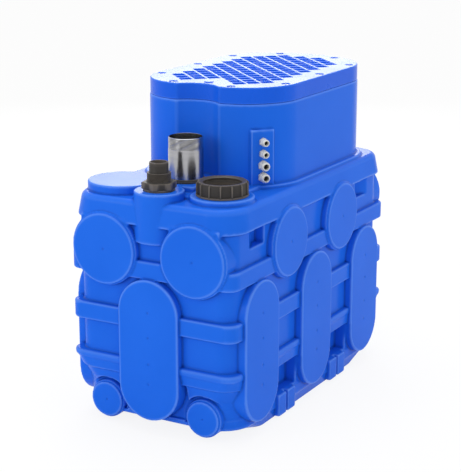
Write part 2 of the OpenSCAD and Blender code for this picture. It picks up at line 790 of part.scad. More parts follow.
module inlet_ring_nut() {
    shelf = collar_h + lip_t + move_gap;
    core = nut_d / 2 - 3;
    rib_w = 5;
    color([0.20, 0.18, 0.16])
    at_inlet() difference() {
        union() {
            translate([0, 0, move_gap]) cylinder(r = core, h = nut_h - move_gap - 1.5);
            translate([0, 0, nut_h - 1.5]) cylinder(r1 = core, r2 = core - 1.5, h = 1.5);
            translate([0, 0, move_gap]) cylinder(r = nut_d / 2 - 1, h = 5);
            for (k = [0:nut_ribs - 1]) rotate([0, 0, k * 360 / nut_ribs])
                translate([core - 2, -rib_w / 2, move_gap]) cube([5, rib_w, nut_h - 5]);
        }
        cylinder(r = collar_d / 2 + move_gap, h = shelf);
        translate([0, 0, shelf - 1]) cylinder(r = nut_hole_d / 2, h = nut_h);
        translate([0, 0, nut_h - 4]) cylinder(r1 = nut_hole_d / 2, r2 = nut_hole_d / 2 + 5, h = 4.01);
    }
}

// Vent adapter on the column

module at_column() {
    translate([COLUMN_X, 0, 0]) children();
}

module vent_adapter() {
    hex_z = VENT_BASE + VENT_FLANGE_T;
    thread_z = hex_z + VENT_HEX_H;
    spigot_z = thread_z + VENT_THREAD_H;
    color([0.18, 0.17, 0.16])
    at_column() difference() {
        union() {
            translate([0, 0, COLUMN_TOP - wall - LOCKNUT_T - 6])
                cylinder(r = vent_tail_d / 2, h = wall + LOCKNUT_T + 7 + VENT_GASKET_T);
            translate([0, 0, VENT_BASE]) cylinder(r = vent_flange_d / 2, h = VENT_FLANGE_T);
            translate([0, 0, hex_z]) rotate([0, 0, 12])
                cylinder(r = vent_hex_af / sqrt(3), h = VENT_HEX_H, $fn = 6);
            translate([0, 0, thread_z]) cylinder(r = vent_thread_d / 2, h = VENT_THREAD_H);
            translate([0, 0, spigot_z]) cylinder(r = vent_spigot_d / 2, h = VENT_SPIGOT_H);
        }
        translate([0, 0, COLUMN_TOP - wall - LOCKNUT_T - 7])
            cylinder(r = vent_bore_d / 2, h = 2 * (spigot_z + VENT_SPIGOT_H - COLUMN_TOP));
    }
}

module vent_gasket() {
    color([0.10, 0.10, 0.10])
    at_column() ring(vent_flange_d / 2, vent_tail_d / 2 + fit_gap, COLUMN_TOP, VENT_BASE);
}

module vent_locknut() {
    top = COLUMN_TOP - wall;
    color([0.20, 0.19, 0.18])
    at_column() difference() {
        translate([0, 0, top - LOCKNUT_T])
            cylinder(r = vent_tail_d / 2 + 14, h = LOCKNUT_T, $fn = 6);
        translate([0, 0, top - LOCKNUT_T - 1])
            cylinder(r = vent_tail_d / 2 + fit_gap, h = LOCKNUT_T + 2);
    }
}

// Discharge nipple, its seal and the collector

module discharge_nipple() {
    low = NIPPLE_TOP - nipple_thread_l;
    color([0.72, 0.73, 0.74])
    translate([NIPPLE_X, 0, 0]) difference() {
        union() {
            translate([0, 0, NIPPLE_FOOT]) cylinder(r = NIPPLE_R, h = low - NIPPLE_FOOT);
            translate([0, 0, NIPPLE_FOOT]) cylinder(r = nipple_thread_d / 2, h = NIPPLE_TOP - NIPPLE_FOOT);
        }
        translate([0, 0, NIPPLE_FOOT - 1])
            cylinder(r = NIPPLE_R - nipple_wall, h = NIPPLE_TOP - NIPPLE_FOOT + 2);
    }
}

module nipple_seal() {
    color([0.15, 0.14, 0.13])
    translate([NIPPLE_X, 0, 0]) {
        ring(nipple_seal_d / 2, NIPPLE_R + fit_gap, COLUMN_TOP, COLUMN_TOP + 8.5);
        ring(NIPPLE_R + 2.5, NIPPLE_R + fit_gap, COLUMN_TOP - wall - 3, COLUMN_TOP + 1);
    }
}

module collector() {
    r = collector_d / 2;
    bore = r - cast_wall;
    run = PIPE_X[1] - NIPPLE_X;
    low = valve_top_z - socket_l + 2;
    color([0.30, 0.32, 0.34])
    difference() {
        union() {
            translate([NIPPLE_X, 0, collector_z]) rotate([0, 90, 0]) cylinder(r = r, h = run);
            translate([NIPPLE_X, 0, collector_z]) sphere(r = r);
            translate([PIPE_X[1], 0, collector_z]) sphere(r = r);
            translate([NIPPLE_X, 0, collector_z]) cylinder(r = r, h = 20);
            translate([NIPPLE_X, 0, collector_z + 16])
                cylinder(r = NIPPLE_SOCKET_R, h = SOCKET_TOP - collector_z - 16);
            for (x = PIPE_X) {
                translate([x, 0, low]) cylinder(r = riser_d / 2, h = collector_z - low);
                translate([x, 0, valve_top_z + 4])
                    cylinder(r = socket_d / 2 - 2, h = collector_z - valve_top_z - 4);
            }
        }
        translate([NIPPLE_X, 0, collector_z]) rotate([0, 90, 0]) cylinder(r = bore, h = run);
        translate([NIPPLE_X, 0, collector_z]) sphere(r = bore);
        translate([PIPE_X[1], 0, collector_z]) sphere(r = bore);
        translate([NIPPLE_X, 0, collector_z]) cylinder(r = bore, h = 30);
        translate([NIPPLE_X, 0, NIPPLE_FOOT]) cylinder(r = NIPPLE_R + fit_gap, h = 80);
        for (x = PIPE_X) translate([x, 0, low - 1])
            cylinder(r = riser_d / 2 - riser_wall, h = collector_z - low + 1);
    }
}

// Cable glands

module gland_bodies() {
    color([0.78, 0.78, 0.76])
    for (k = [0:len(GLAND_Z) - 1]) on_panel(GLAND_Z[k]) difference() {
        union() {
            cylinder(r = GLAND_D[k] * 0.68, h = 5, $fn = 6);
            translate([0, 0, -panel_t - 9]) cylinder(r = GLAND_D[k] / 2, h = panel_t + 10);
            cylinder(r = GLAND_D[k] / 2 - 1, h = GLAND_STAND - 8);
        }
        translate([0, 0, -panel_t - 10]) cylinder(r = GLAND_D[k] / 2 - 2.5, h = panel_t + 70);
    }
}

module gland_cap_nuts() {
    color([0.82, 0.82, 0.80])
    for (k = [0:len(GLAND_Z) - 1]) on_panel(GLAND_Z[k]) difference() {
        union() {
            translate([0, 0, 6]) cylinder(r = GLAND_D[k] * 0.66, h = 8, $fn = 6);
            translate([0, 0, 6]) cylinder(r = GLAND_D[k] * 0.59, h = GLAND_STAND - 11);
            translate([0, 0, GLAND_STAND - 5])
                cylinder(r1 = GLAND_D[k] * 0.59, r2 = GLAND_D[k] * 0.48, h = 5);
        }
        translate([0, 0, 5]) cylinder(r = GLAND_D[k] / 2 - 1 + fit_gap, h = GLAND_STAND - 9);
        translate([0, 0, 6]) cylinder(r = GLAND_D[k] * 0.36, h = GLAND_STAND);
    }
}

module gland_seals() {
    color([0.12, 0.12, 0.12])
    for (k = [0:len(GLAND_Z) - 1]) on_panel(GLAND_Z[k])
        ring(GLAND_D[k] / 2 - 2.5, GLAND_D[k] * 0.25, GLAND_STAND - 20, GLAND_STAND - 8);
}

module gland_locknuts() {
    color([0.70, 0.70, 0.68])
    for (k = [0:len(GLAND_Z) - 1]) on_panel(GLAND_Z[k]) difference() {
        translate([0, 0, -panel_t - 5]) cylinder(r = GLAND_D[k] * 0.7, h = 5, $fn = 6);
        translate([0, 0, -panel_t - 6]) cylinder(r = GLAND_D[k] / 2 + fit_gap, h = 7);
    }
}

// Riser pipes, elbows and check valves. k is 0 for the first pump's line, 1 for the second's

module riser_pipe(k) {
    color([0.62, 0.63, 0.64])
    translate([PIPE_X[k], 0, 0])
        ring(riser_d / 2, riser_d / 2 - riser_wall, ELBOW_TOP - socket_l, valve_low_z + socket_l);
}

module discharge_elbow(k) {
    start = pump_reach - OUTLET_FLANGE_X;
    color([0.28, 0.30, 0.32])
    translate([PIPE_X[k], 0, OUTLET_Z]) difference() {
        union() {
            sphere(r = OUTLET_R);
            rotate([0, 90, 0]) cylinder(r = OUTLET_R, h = start);
            translate([start - FLANGE_PLATE_T, 0, 0]) rotate([0, 90, 0])
                cylinder(r = OUTLET_FLANGE_R, h = FLANGE_PLATE_T);
            cylinder(r = OUTLET_R, h = ELBOW_TOP - OUTLET_Z);
            translate([0, 0, ELBOW_TOP - OUTLET_Z - socket_l - 4])
                cylinder(r = socket_d / 2, h = socket_l + 4);
        }
        sphere(r = OUTLET_BORE_R);
        rotate([0, 90, 0]) cylinder(r = OUTLET_BORE_R, h = start + 1);
        cylinder(r = OUTLET_BORE_R, h = ELBOW_TOP);
        translate([0, 0, ELBOW_TOP - OUTLET_Z - socket_l])
            cylinder(r = riser_d / 2 + fit_gap, h = socket_l + 1);
    }
}

// Places a piece on the slanting pocket of a check valve, along z from the ball's centre
module on_pocket(k) {
    translate([PIPE_X[k], 0, ball_z]) rotate([pocket_lean, 0, 0]) children();
}

module check_valve_body(k) {
    outer = POCKET_R + POCKET_WALL;
    color([0.28, 0.30, 0.33])
    difference() {
        union() {
            translate([PIPE_X[k], 0, valve_low_z])
                cylinder(r = socket_d / 2, h = socket_l + 6);
            translate([PIPE_X[k], 0, valve_low_z])
                cylinder(r = seat_d / 2 + POCKET_WALL, h = valve_top_z - valve_low_z);
            translate([PIPE_X[k], 0, valve_top_z - socket_l - 6])
                cylinder(r = socket_d / 2, h = socket_l + 6);
            translate([PIPE_X[k], 0, ball_z]) sphere(r = outer + 1);
            on_pocket(k) cylinder(r = outer, h = POCKET_L);
            on_pocket(k) translate([0, 0, POCKET_L - FLANGE_PLATE_T - 4])
                cylinder(r = POCKET_FLANGE_R, h = FLANGE_PLATE_T + 4);
        }
        translate([PIPE_X[k], 0, valve_low_z - 1])
            cylinder(r = seat_d / 2, h = valve_top_z - valve_low_z + 2);
        translate([PIPE_X[k], 0, valve_low_z - 1])
            cylinder(r = riser_d / 2 + fit_gap, h = socket_l + 1);
        translate([PIPE_X[k], 0, valve_top_z - socket_l])
            cylinder(r = riser_d / 2 + fit_gap, h = socket_l + 1);
        translate([PIPE_X[k], 0, ball_z]) sphere(r = ball_d / 2 + move_gap);
        on_pocket(k) cylinder(r = POCKET_R, h = POCKET_L + 1);
        on_pocket(k) for (t = [45:90:315]) rotate([0, 0, t])
            translate([POCKET_SCREW_R + 1, 0, POCKET_L - M6_L + POCKET_COVER_T - 1])
                cylinder(r = M6_R + fit_gap, h = M6_L);
    }
}

module check_valve_cover(k) {
    color([0.30, 0.32, 0.35])
    on_pocket(k) difference() {
        union() {
            translate([0, 0, POCKET_L]) cylinder(r = POCKET_FLANGE_R, h = POCKET_COVER_T);
            translate([0, 0, POCKET_L - STOP_L]) cylinder(r = POCKET_R - move_gap, h = STOP_L + 1);
        }
        for (t = [45:90:315]) rotate([0, 0, t]) translate([POCKET_SCREW_R + 1, 0, POCKET_L - 1])
            cylinder(r = M6_R + 0.5, h = POCKET_COVER_T + 2);
    }
}

module check_valve_ball(k) {
    color([0.15, 0.15, 0.16])
    translate([PIPE_X[k], 0, ball_z]) sphere(r = ball_d / 2);
}

// An M6 screw along -z with the underside of its head at z = 0
module m6_screw() {
    translate([0, 0, -M6_L]) cylinder(r = M6_R, h = M6_L + 1);
    difference() {
        cylinder(r = M6_HEAD_R, h = M6_HEAD_H);
        translate([0, 0, 3]) cylinder(r = 2.9, h = 4, $fn = 6);
    }
}

module small_screws() {
    color([0.75, 0.76, 0.77]) {
        for (k = [0, 1], t = [45:90:315]) on_pocket(k) rotate([0, 0, t])
            translate([POCKET_SCREW_R + 1, 0, POCKET_L + POCKET_COVER_T]) m6_screw();
        for (x = [-1, 1]) translate([FLOAT_X + x * RAIL_W / 4, RAIL_Y - RAIL_HOLE, FLANGE_Z - RAIL_T])
            rotate([180, 0, 0]) m6_screw();
    }
}

// Pumps. k is 0 for the first pump and 1 for the second

module at_pump(k) {
    translate([PUMP_X[k], -pump_offset, 0]) children();
}

// Height of the tank's floor inside, at a distance x from the middle along the tank
function floor_z(x) =
    wall + max(0, abs(x) - BASE_L / 2 + wall) * 2 * (base_roll_h - 1) / (WAIST_L - BASE_L);

module suction_plate(k) {
    foot_r = 9;
    reach = volute_r - foot_r - 4;
    color([0.24, 0.26, 0.28])
    at_pump(k) {
        ring(volute_r, 32, PLATE_Z, PLATE_Z + PLATE_T);
        for (t = [30, 150, 270]) {
            low = floor_z(PUMP_X[k] + reach * cos(t) + foot_r);
            translate([reach * cos(t), reach * sin(t), low])
                cylinder(r = foot_r, h = PLATE_Z + 1 - low);
        }
    }
}

module volute(k) {
    color([0.22, 0.24, 0.27])
    at_pump(k) difference() {
        union() {
            translate([0, 0, VOLUTE_Z]) cylinder(r = volute_r, h = VOLUTE_H);
            translate([-OUTLET_FLANGE_X, pump_offset, OUTLET_Z]) rotate([0, 90, 0])
                cylinder(r = OUTLET_R, h = OUTLET_FLANGE_X);
            translate([-OUTLET_FLANGE_X, pump_offset, OUTLET_Z]) rotate([0, 90, 0])
                cylinder(r = OUTLET_FLANGE_R, h = FLANGE_PLATE_T);
        }
        translate([0, 0, VOLUTE_Z - 1]) cylinder(r = chamber_r, h = VOLUTE_H - VOLUTE_ROOF + 1);
        translate([-OUTLET_FLANGE_X - 1, pump_offset, OUTLET_Z]) rotate([0, 90, 0])
            cylinder(r = OUTLET_BORE_R, h = OUTLET_FLANGE_X + 1);
        translate([0, 0, VOLUTE_Z]) cylinder(r = SEAL_R, h = VOLUTE_H + 1);
    }
}

module bearing_bracket(k) {
    color([0.22, 0.24, 0.27])
    at_pump(k) difference() {
        translate([0, 0, BRACKET_Z]) cylinder(r = motor_r, h = BRACKET_H);
        translate([0, 0, BRACKET_Z - 1]) cylinder(r = SEAL_R + fit_gap, h = BEARING_H + 3);
        translate([0, 0, BRACKET_Z]) cylinder(r = shaft_r + 4, h = BRACKET_H + 1);
        translate([0, 0, MOTOR_Z - BEARING_H - 2])
            cylinder(r = BEARING_R + fit_gap, h = BEARING_H + 3);
    }
}

module motor_housing(k) {
    color([0.55, 0.57, 0.58])
    at_pump(k) ring(motor_r, motor_r - motor_wall, MOTOR_Z, COVER_Z);
}

module top_cover(k) {
    color([0.22, 0.24, 0.27])
    at_pump(k) difference() {
        union() {
            translate([0, 0, COVER_Z]) cylinder(r = motor_r, h = COVER_T);
            translate([0, 34, COVER_Z + COVER_T]) cylinder(r = 13, h = 18);
        }
        translate([0, 0, COVER_Z - 1]) cylinder(r = BEARING_R + fit_gap, h = BEARING_H + 2);
        translate([0, 34, COVER_Z + COVER_T]) cylinder(r = 6, h = 19);
    }
}

module pump_handle(k) {
    rod_r = 6;
    span = 90;
    rise = 40;
    color([0.70, 0.71, 0.72])
    at_pump(k) translate([0, -14, COVER_Z + COVER_T]) {
        for (s = [-1, 1]) {
            translate([s * span / 2, 0, 0]) cylinder(r = rod_r, h = rise);
            translate([s * span / 2, 0, rise]) sphere(r = rod_r);
        }
        translate([-span / 2, 0, rise]) rotate([0, 90, 0]) cylinder(r = rod_r, h = span);
    }
}

module stator(k) {
    bore = core_r + 1;
    outer = motor_r - motor_wall;
    color([0.45, 0.30, 0.22])
    at_pump(k) {
        ring(outer, bore, CORE_Z, CORE_Z + CORE_H);
        ring(outer - 8, bore + 3, CORE_Z - 16, CORE_Z + 1);
        ring(outer - 8, bore + 3, CORE_Z + CORE_H - 1, CORE_Z + CORE_H + 16);
    }
}

module rotor(k) {
    color([0.60, 0.61, 0.62])
    at_pump(k) {
        translate([0, 0, SHAFT_LOW]) cylinder(r = shaft_r, h = SHAFT_TOP - SHAFT_LOW);
        translate([0, 0, CORE_Z]) cylinder(r = core_r, h = CORE_H);
    }
}

module impeller(k) {
    disc_t = 8;
    color([0.40, 0.42, 0.43])
    at_pump(k) difference() {
        union() {
            translate([0, 0, IMPELLER_Z + BLADE_H]) cylinder(r = impeller_r, h = disc_t);
            translate([0, 0, IMPELLER_Z]) cylinder(r = shaft_r + 6, h = BLADE_H + disc_t + 4);
            for (t = [0:impeller_blades - 1]) rotate([0, 0, t * 360 / impeller_blades])
                translate([shaft_r + 3, -3, IMPELLER_Z])
                    cube([impeller_r - shaft_r - 6, 6, BLADE_H + 1]);
        }
        translate([0, 0, SHAFT_LOW - 1]) cylinder(r = shaft_r + fit_gap, h = VOLUTE_H);
    }
}

module bearings(k) {
    color([0.68, 0.69, 0.70])
    at_pump(k) {
        ring(BEARING_R, shaft_r + run_gap, MOTOR_Z - BEARING_H - 2, MOTOR_Z - 2);
        ring(BEARING_R, shaft_r + run_gap, COVER_Z + 1, COVER_Z + 1 + BEARING_H);
    }
}

module shaft_seal(k) {
    color([0.20, 0.18, 0.17])
    at_pump(k) ring(SEAL_R, shaft_r + run_gap, BRACKET_Z + 2, BRACKET_Z + 2 + BEARING_H);
}

// Lever floats on a rail that hangs from the hood's flange. k is 0 for start, 1 for alarm

module float_rail() {
    low = start_float_z - RAIL_BELOW;
    color([0.72, 0.73, 0.74]) {
        translate([FLOAT_X - RAIL_W / 2, RAIL_Y, low]) cube([RAIL_W, RAIL_T, FLANGE_Z - low]);
        difference() {
            translate([FLOAT_X - RAIL_W / 2, RAIL_Y - RAIL_FOOT, FLANGE_Z - RAIL_T])
                cube([RAIL_W, RAIL_FOOT + 1, RAIL_T]);
            for (x = [-1, 1])
                translate([FLOAT_X + x * RAIL_W / 4, RAIL_Y - RAIL_HOLE, FLANGE_Z - RAIL_T - 1])
                    cylinder(r = M6_R + fit_gap, h = RAIL_T + 2);
        }
    }
}

module at_float(k) {
    translate([FLOAT_X, FLOAT_Y, FLOAT_Z[k]]) children();
}

module float_switch(k) {
    ear_x = EYE_W / 2 + move_gap;
    color([0.20, 0.21, 0.22])
    at_float(k) {
        translate([-SWITCH_W / 2, -18, SWITCH_GAP])
            cube([SWITCH_W, RAIL_Y - FLOAT_Y + 18, SWITCH_H]);
        for (s = [0, 1]) mirror([s, 0, 0]) {
            translate([ear_x, 0, 0]) rotate([0, 90, 0]) cylinder(r = EYE_R, h = EAR_T);
            translate([ear_x, -EYE_R, 0]) cube([EAR_T, 2 * EYE_R, SWITCH_GAP + 1]);
        }
        translate([-ear_x - 1, 0, 0]) rotate([0, 90, 0])
            cylinder(r = pin_d / 2, h = 2 * ear_x + 2);
    }
}

module float_lever(k) {
    color([0.72, 0.73, 0.74])
    at_float(k) difference() {
        union() {
            translate([-EYE_W / 2, 0, 0]) rotate([0, 90, 0]) cylinder(r = EYE_R, h = EYE_W);
            translate([0, 0, -lever_l]) cylinder(r = LEVER_R, h = lever_l - pin_d);
        }
        translate([-EYE_W, 0, 0]) rotate([0, 90, 0])
            cylinder(r = pin_d / 2 + run_gap, h = 2 * EYE_W);
    }
}

module float_ball(k) {
    color([0.90, 0.45, 0.12])
    at_float(k) difference() {
        union() {
            translate([0, 0, -lever_l]) sphere(r = float_d / 2);
            translate([0, 0, float_d / 2 - lever_l - 4]) cylinder(r = LEVER_R + 4, h = 12);
        }
        translate([0, 0, -lever_l]) cylinder(r = LEVER_R + fit_gap, h = lever_l);
    }
}

tank();
lid();
lid_gasket();
lid_screws();
lid_inserts();
lid_plug();
inlet_collar();
inlet_lip_seal();
inlet_ring_nut();
vent_adapter();
vent_gasket();
vent_locknut();
discharge_nipple();
nipple_seal();
collector();
gland_bodies();
gland_cap_nuts();
gland_seals();
gland_locknuts();
riser_pipe(0);  // riser_pipe_a
riser_pipe(1);  // riser_pipe_b
discharge_elbow(0);  // discharge_elbow_a
discharge_elbow(1);  // discharge_elbow_b
check_valve_body(0);  // check_valve_body_a
check_valve_body(1);  // check_valve_body_b
check_valve_cover(0);  // check_valve_cover_a
check_valve_cover(1);  // check_valve_cover_b
check_valve_ball(0);  // check_valve_ball_a
check_valve_ball(1);  // check_valve_ball_b
small_screws();
suction_plate(0);  // pump_a_suction_plate
volute(0);  // pump_a_volute
bearing_bracket(0);  // pump_a_bearing_bracket
motor_housing(0);  // pump_a_motor_housing
top_cover(0);  // pump_a_top_cover
pump_handle(0);  // pump_a_handle
stator(0);  // pump_a_stator
rotor(0);  // pump_a_rotor
impeller(0);  // pump_a_impeller
bearings(0);  // pump_a_bearings
shaft_seal(0);  // pump_a_shaft_seal
suction_plate(1);  // pump_b_suction_plate
volute(1);  // pump_b_volute
bearing_bracket(1);  // pump_b_bearing_bracket
motor_housing(1);  // pump_b_motor_housing
top_cover(1);  // pump_b_top_cover
pump_handle(1);  // pump_b_handle
stator(1);  // pump_b_stator
rotor(1);  // pump_b_rotor
impeller(1);  // pump_b_impeller
bearings(1);  // pump_b_bearings
shaft_seal(1);  // pump_b_shaft_seal
float_rail();
float_switch(0);  // float_switch_a
float_switch(1);  // float_switch_b
float_lever(0);  // float_lever_a
float_lever(1);  // float_lever_b
float_ball(0);  // float_ball_a
float_ball(1);  // float_ball_b
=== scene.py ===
# Sewage lifting station: a hollow blue tank with a bolted lid over two pumps, a pipe inlet,
# a vent adapter and a steel discharge nipple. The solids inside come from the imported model
# and get their finishes here; the outside is made again with its soft moulded edges.
import math

import bmesh
import bpy
import numpy as np
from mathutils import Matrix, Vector


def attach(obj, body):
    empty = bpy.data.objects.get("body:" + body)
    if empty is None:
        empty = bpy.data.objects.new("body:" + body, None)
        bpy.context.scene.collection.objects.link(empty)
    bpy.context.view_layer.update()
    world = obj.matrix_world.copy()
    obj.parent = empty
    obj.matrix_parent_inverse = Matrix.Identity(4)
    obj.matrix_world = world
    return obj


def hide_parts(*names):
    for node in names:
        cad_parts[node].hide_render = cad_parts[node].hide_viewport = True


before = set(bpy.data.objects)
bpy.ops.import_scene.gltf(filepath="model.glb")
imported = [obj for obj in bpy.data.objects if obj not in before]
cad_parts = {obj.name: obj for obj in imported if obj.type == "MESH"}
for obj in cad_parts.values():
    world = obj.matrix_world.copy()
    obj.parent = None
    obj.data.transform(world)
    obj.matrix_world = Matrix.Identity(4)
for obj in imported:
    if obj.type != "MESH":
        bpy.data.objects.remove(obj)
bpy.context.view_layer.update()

# ---------------------------------------------------------------------------
# Camera. It stands before the inlet end, to the left of the long side, and looks a little
# down, with a long lens.
# ---------------------------------------------------------------------------
CAMERA_YAW, CAMERA_PITCH = math.radians(29.60), math.radians(15.04)
CAMERA_PLACE = (-3.2621, -1.8328, 1.4172)
# Both in the photograph's own pixels
FOCAL_LENGTH, PHOTO_WIDTH = 1431.5, 461
SENSOR = 36
camera_data = bpy.data.cameras.new("camera")
camera_data.sensor_width = SENSOR
camera_data.sensor_fit = "HORIZONTAL"
camera_data.lens = FOCAL_LENGTH / PHOTO_WIDTH * SENSOR
camera = bpy.data.objects.new("camera", camera_data)
bpy.context.scene.collection.objects.link(camera)
camera.location = CAMERA_PLACE
look = Vector((math.cos(CAMERA_YAW) * math.cos(CAMERA_PITCH),
               math.sin(CAMERA_YAW) * math.cos(CAMERA_PITCH), -math.sin(CAMERA_PITCH)))
camera.rotation_euler = look.to_track_quat("-Z", "Y").to_euler()
bpy.context.scene.camera = camera

# ---------------------------------------------------------------------------
# Studio. A white floor that runs to the horizon, a white world, one wide lamp overhead, one
# behind, so that the tops catch a pale sheen, and a weaker one before each shown side.
# ---------------------------------------------------------------------------
WORLD_LIGHT, WORLD_SEEN = 0.82, 1.0
FLOOR_REACH, FLOOR_WHITE, FLOOR_GLOW = 40, 0.95, 0.88

scene = bpy.context.scene
scene.view_settings.view_transform = "Standard"


def link(tree, out, into):
    tree.links.new(out, into)


def seen_rays(tree):
    """1 where the studio is seen, straight or in a gloss, and 0 where it only gives light."""
    path = tree.nodes.new("ShaderNodeLightPath")
    total = path.outputs["Is Camera Ray"]
    for kind in ("Is Glossy Ray", "Is Transmission Ray"):
        more = tree.nodes.new("ShaderNodeMath")
        more.operation = "MAXIMUM"
        link(tree, total, more.inputs[0])
        link(tree, path.outputs[kind], more.inputs[1])
        total = more.outputs[0]
    return total


world = bpy.data.worlds.new("studio")
scene.world = world
world.use_nodes = True
tree = world.node_tree
tree.nodes.clear()
mixed = tree.nodes.new("ShaderNodeMixShader")
link(tree, seen_rays(tree), mixed.inputs[0])
for socket, strength in ((1, WORLD_LIGHT), (2, WORLD_SEEN)):
    white = tree.nodes.new("ShaderNodeBackground")
    white.inputs["Color"].default_value = (1, 1, 1, 1)
    white.inputs["Strength"].default_value = strength
    link(tree, white.outputs[0], mixed.inputs[socket])
world_out = tree.nodes.new("ShaderNodeOutputWorld")
link(tree, mixed.outputs[0], world_out.inputs["Surface"])


def lamp(name, place, target, size, power):
    """A round area lamp: places and size in metres, power in watts."""
    data = bpy.data.lights.new(name, "AREA")
    data.shape = "DISK"
    data.size = size
    data.energy = power
    obj = bpy.data.objects.new(name, data)
    scene.collection.objects.link(obj)
    obj.location = place
    aim = Vector(target) - Vector(place)
    obj.rotation_euler = aim.to_track_quat("-Z", "Y").to_euler()


lamp("lamp_over", (0.2, 0.3, 3.4), (0, 0, 0.5), 2.6, 34)
lamp("lamp_behind", (3.4, 2.0, 2.0), (0, 0, 0.7), 2.4, 42)
lamp("lamp_end", (-3.6, 1.6, 1.8), (0, 0, 0.4), 2.0, 24)
lamp("lamp_side", (1.0, -3.6, 2.2), (0, 0, 0.4), 2.0, 9)

floor_mesh = bpy.data.meshes.new("floor")
floor_mesh.from_pydata([(FLOOR_REACH * i, FLOOR_REACH * j, 0)
                        for i, j in ((-1, -1), (1, -1), (1, 1), (-1, 1))], [], [(0, 1, 2, 3)])
floor = bpy.data.objects.new("floor", floor_mesh)
scene.collection.objects.link(floor)
floor_paint = bpy.data.materials.new("floor_white")
floor_paint.use_nodes = True
tree = floor_paint.node_tree
shader = tree.nodes["Principled BSDF"]
shader.inputs["Base Color"].default_value = (FLOOR_WHITE, FLOOR_WHITE, FLOOR_WHITE, 1)
shader.inputs["Roughness"].default_value = 0.9
shader.inputs["Specular IOR Level"].default_value = 0.0
white_glow = tree.nodes.new("ShaderNodeEmission")
share = tree.nodes.new("ShaderNodeMath")
share.operation = "MULTIPLY"
share.inputs[1].default_value = FLOOR_GLOW
link(tree, seen_rays(tree), share.inputs[0])
mixed = tree.nodes.new("ShaderNodeMixShader")
link(tree, share.outputs[0], mixed.inputs[0])
link(tree, shader.outputs[0], mixed.inputs[1])
link(tree, white_glow.outputs[0], mixed.inputs[2])
link(tree, mixed.outputs[0], tree.nodes["Material Output"].inputs["Surface"])
floor_mesh.materials.append(floor_paint)

# ---------------------------------------------------------------------------
# Tank. One hollow rotomoulded piece of blue polyethylene, 8 mm thick: belts and pads on its
# sides, the hood, the fittings' bosses, and a thick rim inside the mouth for the lid's
# screws. Its form is reckoned in millimetres on a fine grid and skinned once.
# ---------------------------------------------------------------------------
MM = 0.001
WALL = 8.0
TANK_CELL = 3.0
# A distance no surface of the piece comes near, and the room kept round each added form
FAR, ROOM = 60.0, 12


class Block:
    """Distances to a form's surface on a regular grid, negative inside, in millimetres."""

    def __init__(self, low, high, cell):
        self.cell = cell
        self.low = np.array(low, float)
        self.axes = [np.arange(a, b + cell, cell) for a, b in zip(low, high)]
        self.field = np.full([len(a) for a in self.axes], FAR, np.float32)

    def window(self, low, high, margin):
        """The grid's part between two corners, and its coordinates ready to be combined."""
        part = []
        for a, l, h in zip(self.axes, low, high):
            part.append(slice(max(0, int((l - margin - a[0]) // self.cell)),
                              min(len(a), int((h + margin - a[0]) // self.cell) + 2)))
        x, y, z = (a[s] for a, s in zip(self.axes, part))
        return tuple(part), x[:, None, None], y[None, :, None], z[None, None, :]

    def put(self, low, high, shape, soft=4.0):
        """Adds a form, with a fillet of about soft where it meets what is there."""
        part, x, y, z = self.window(low, high, soft + ROOM)
        a, b = self.field[part], shape(x, y, z)
        h = np.maximum(soft - np.abs(a - b), 0)
        self.field[part] = np.minimum(a, b) - h * h / (4 * soft)

    def cut(self, low, high, shape, soft=4.0):
        """Takes a form away, with its rim rounded by about soft."""
        part, x, y, z = self.window(low, high, soft + ROOM)
        a, b = self.field[part], -shape(x, y, z)
        h = np.maximum(soft - np.abs(a - b), 0)
        self.field[part] = np.maximum(a, b) + h * h / (4 * soft)


def slab(t, low, high):
    """Distance to the space between two parallel planes."""
    return np.abs(t - (low + high) / 2) - (high - low) / 2


def meet(a, b, edge):
    """Where two distances are both inside, with the edge between them rounded."""
    a, b = a + edge, b + edge
    return (np.minimum(np.maximum(a, b), 0) - edge
            + np.sqrt(np.maximum(a, 0) ** 2 + np.maximum(b, 0) ** 2))


def rect(u, v, half_u, half_v, r):
    """Distance to a rectangle with corners of radius r."""
    return meet(np.abs(u) - half_u, np.abs(v) - half_v, r)


def disc(u, v, r):
    return np.sqrt(u ** 2 + v ** 2) - r


def ease(t, low, high):
    """0 up to low, 1 from high on, and a straight way between."""
    return np.clip((t - low) / (high - low), 0, 1)


def mix_of(low, high, t):
    return low + (high - low) * t


def turned_by(x, y, angle):
    c, s = math.cos(angle), math.sin(angle)
    return x * c + y * s, y * c - x * s


def arc(cx, cy, r, start, end, steps=28):
    angles = np.radians(np.linspace(start, end, steps))
    return [(cx + r * math.cos(t), cy + r * math.sin(t)) for t in angles]


# The hood's outline: two corner arcs at the front, a round end, and a notch for the nipple
CORNER, CORNER_R = (-58.5, 61.0), 146.5
END_CORNER, END_CORNER_R = (269.8, 47.5), 160.0
END_C, END_R = 203.0, 242.0
NIPPLE_X, NOTCH_R = -262.0, 83.0
# It is drawn in by SOFT and grown again, which rounds the notch's two lips
SOFT = 16.0
half = (arc(*CORNER, CORNER_R - SOFT, 177.4, 90)
        + arc(*END_CORNER, END_CORNER_R - SOFT, 90, 35.4)[:-1]
        + arc(END_C, 0, END_R - SOFT, 35.4, 0, 20))
notch = arc(NIPPLE_X, 0, NOTCH_R + SOFT, 0, 42.5, 20)
half_outline = notch[:-1] + half
outline = half_outline + [(x, -y) for x, y in reversed(half_outline[1:-1])]


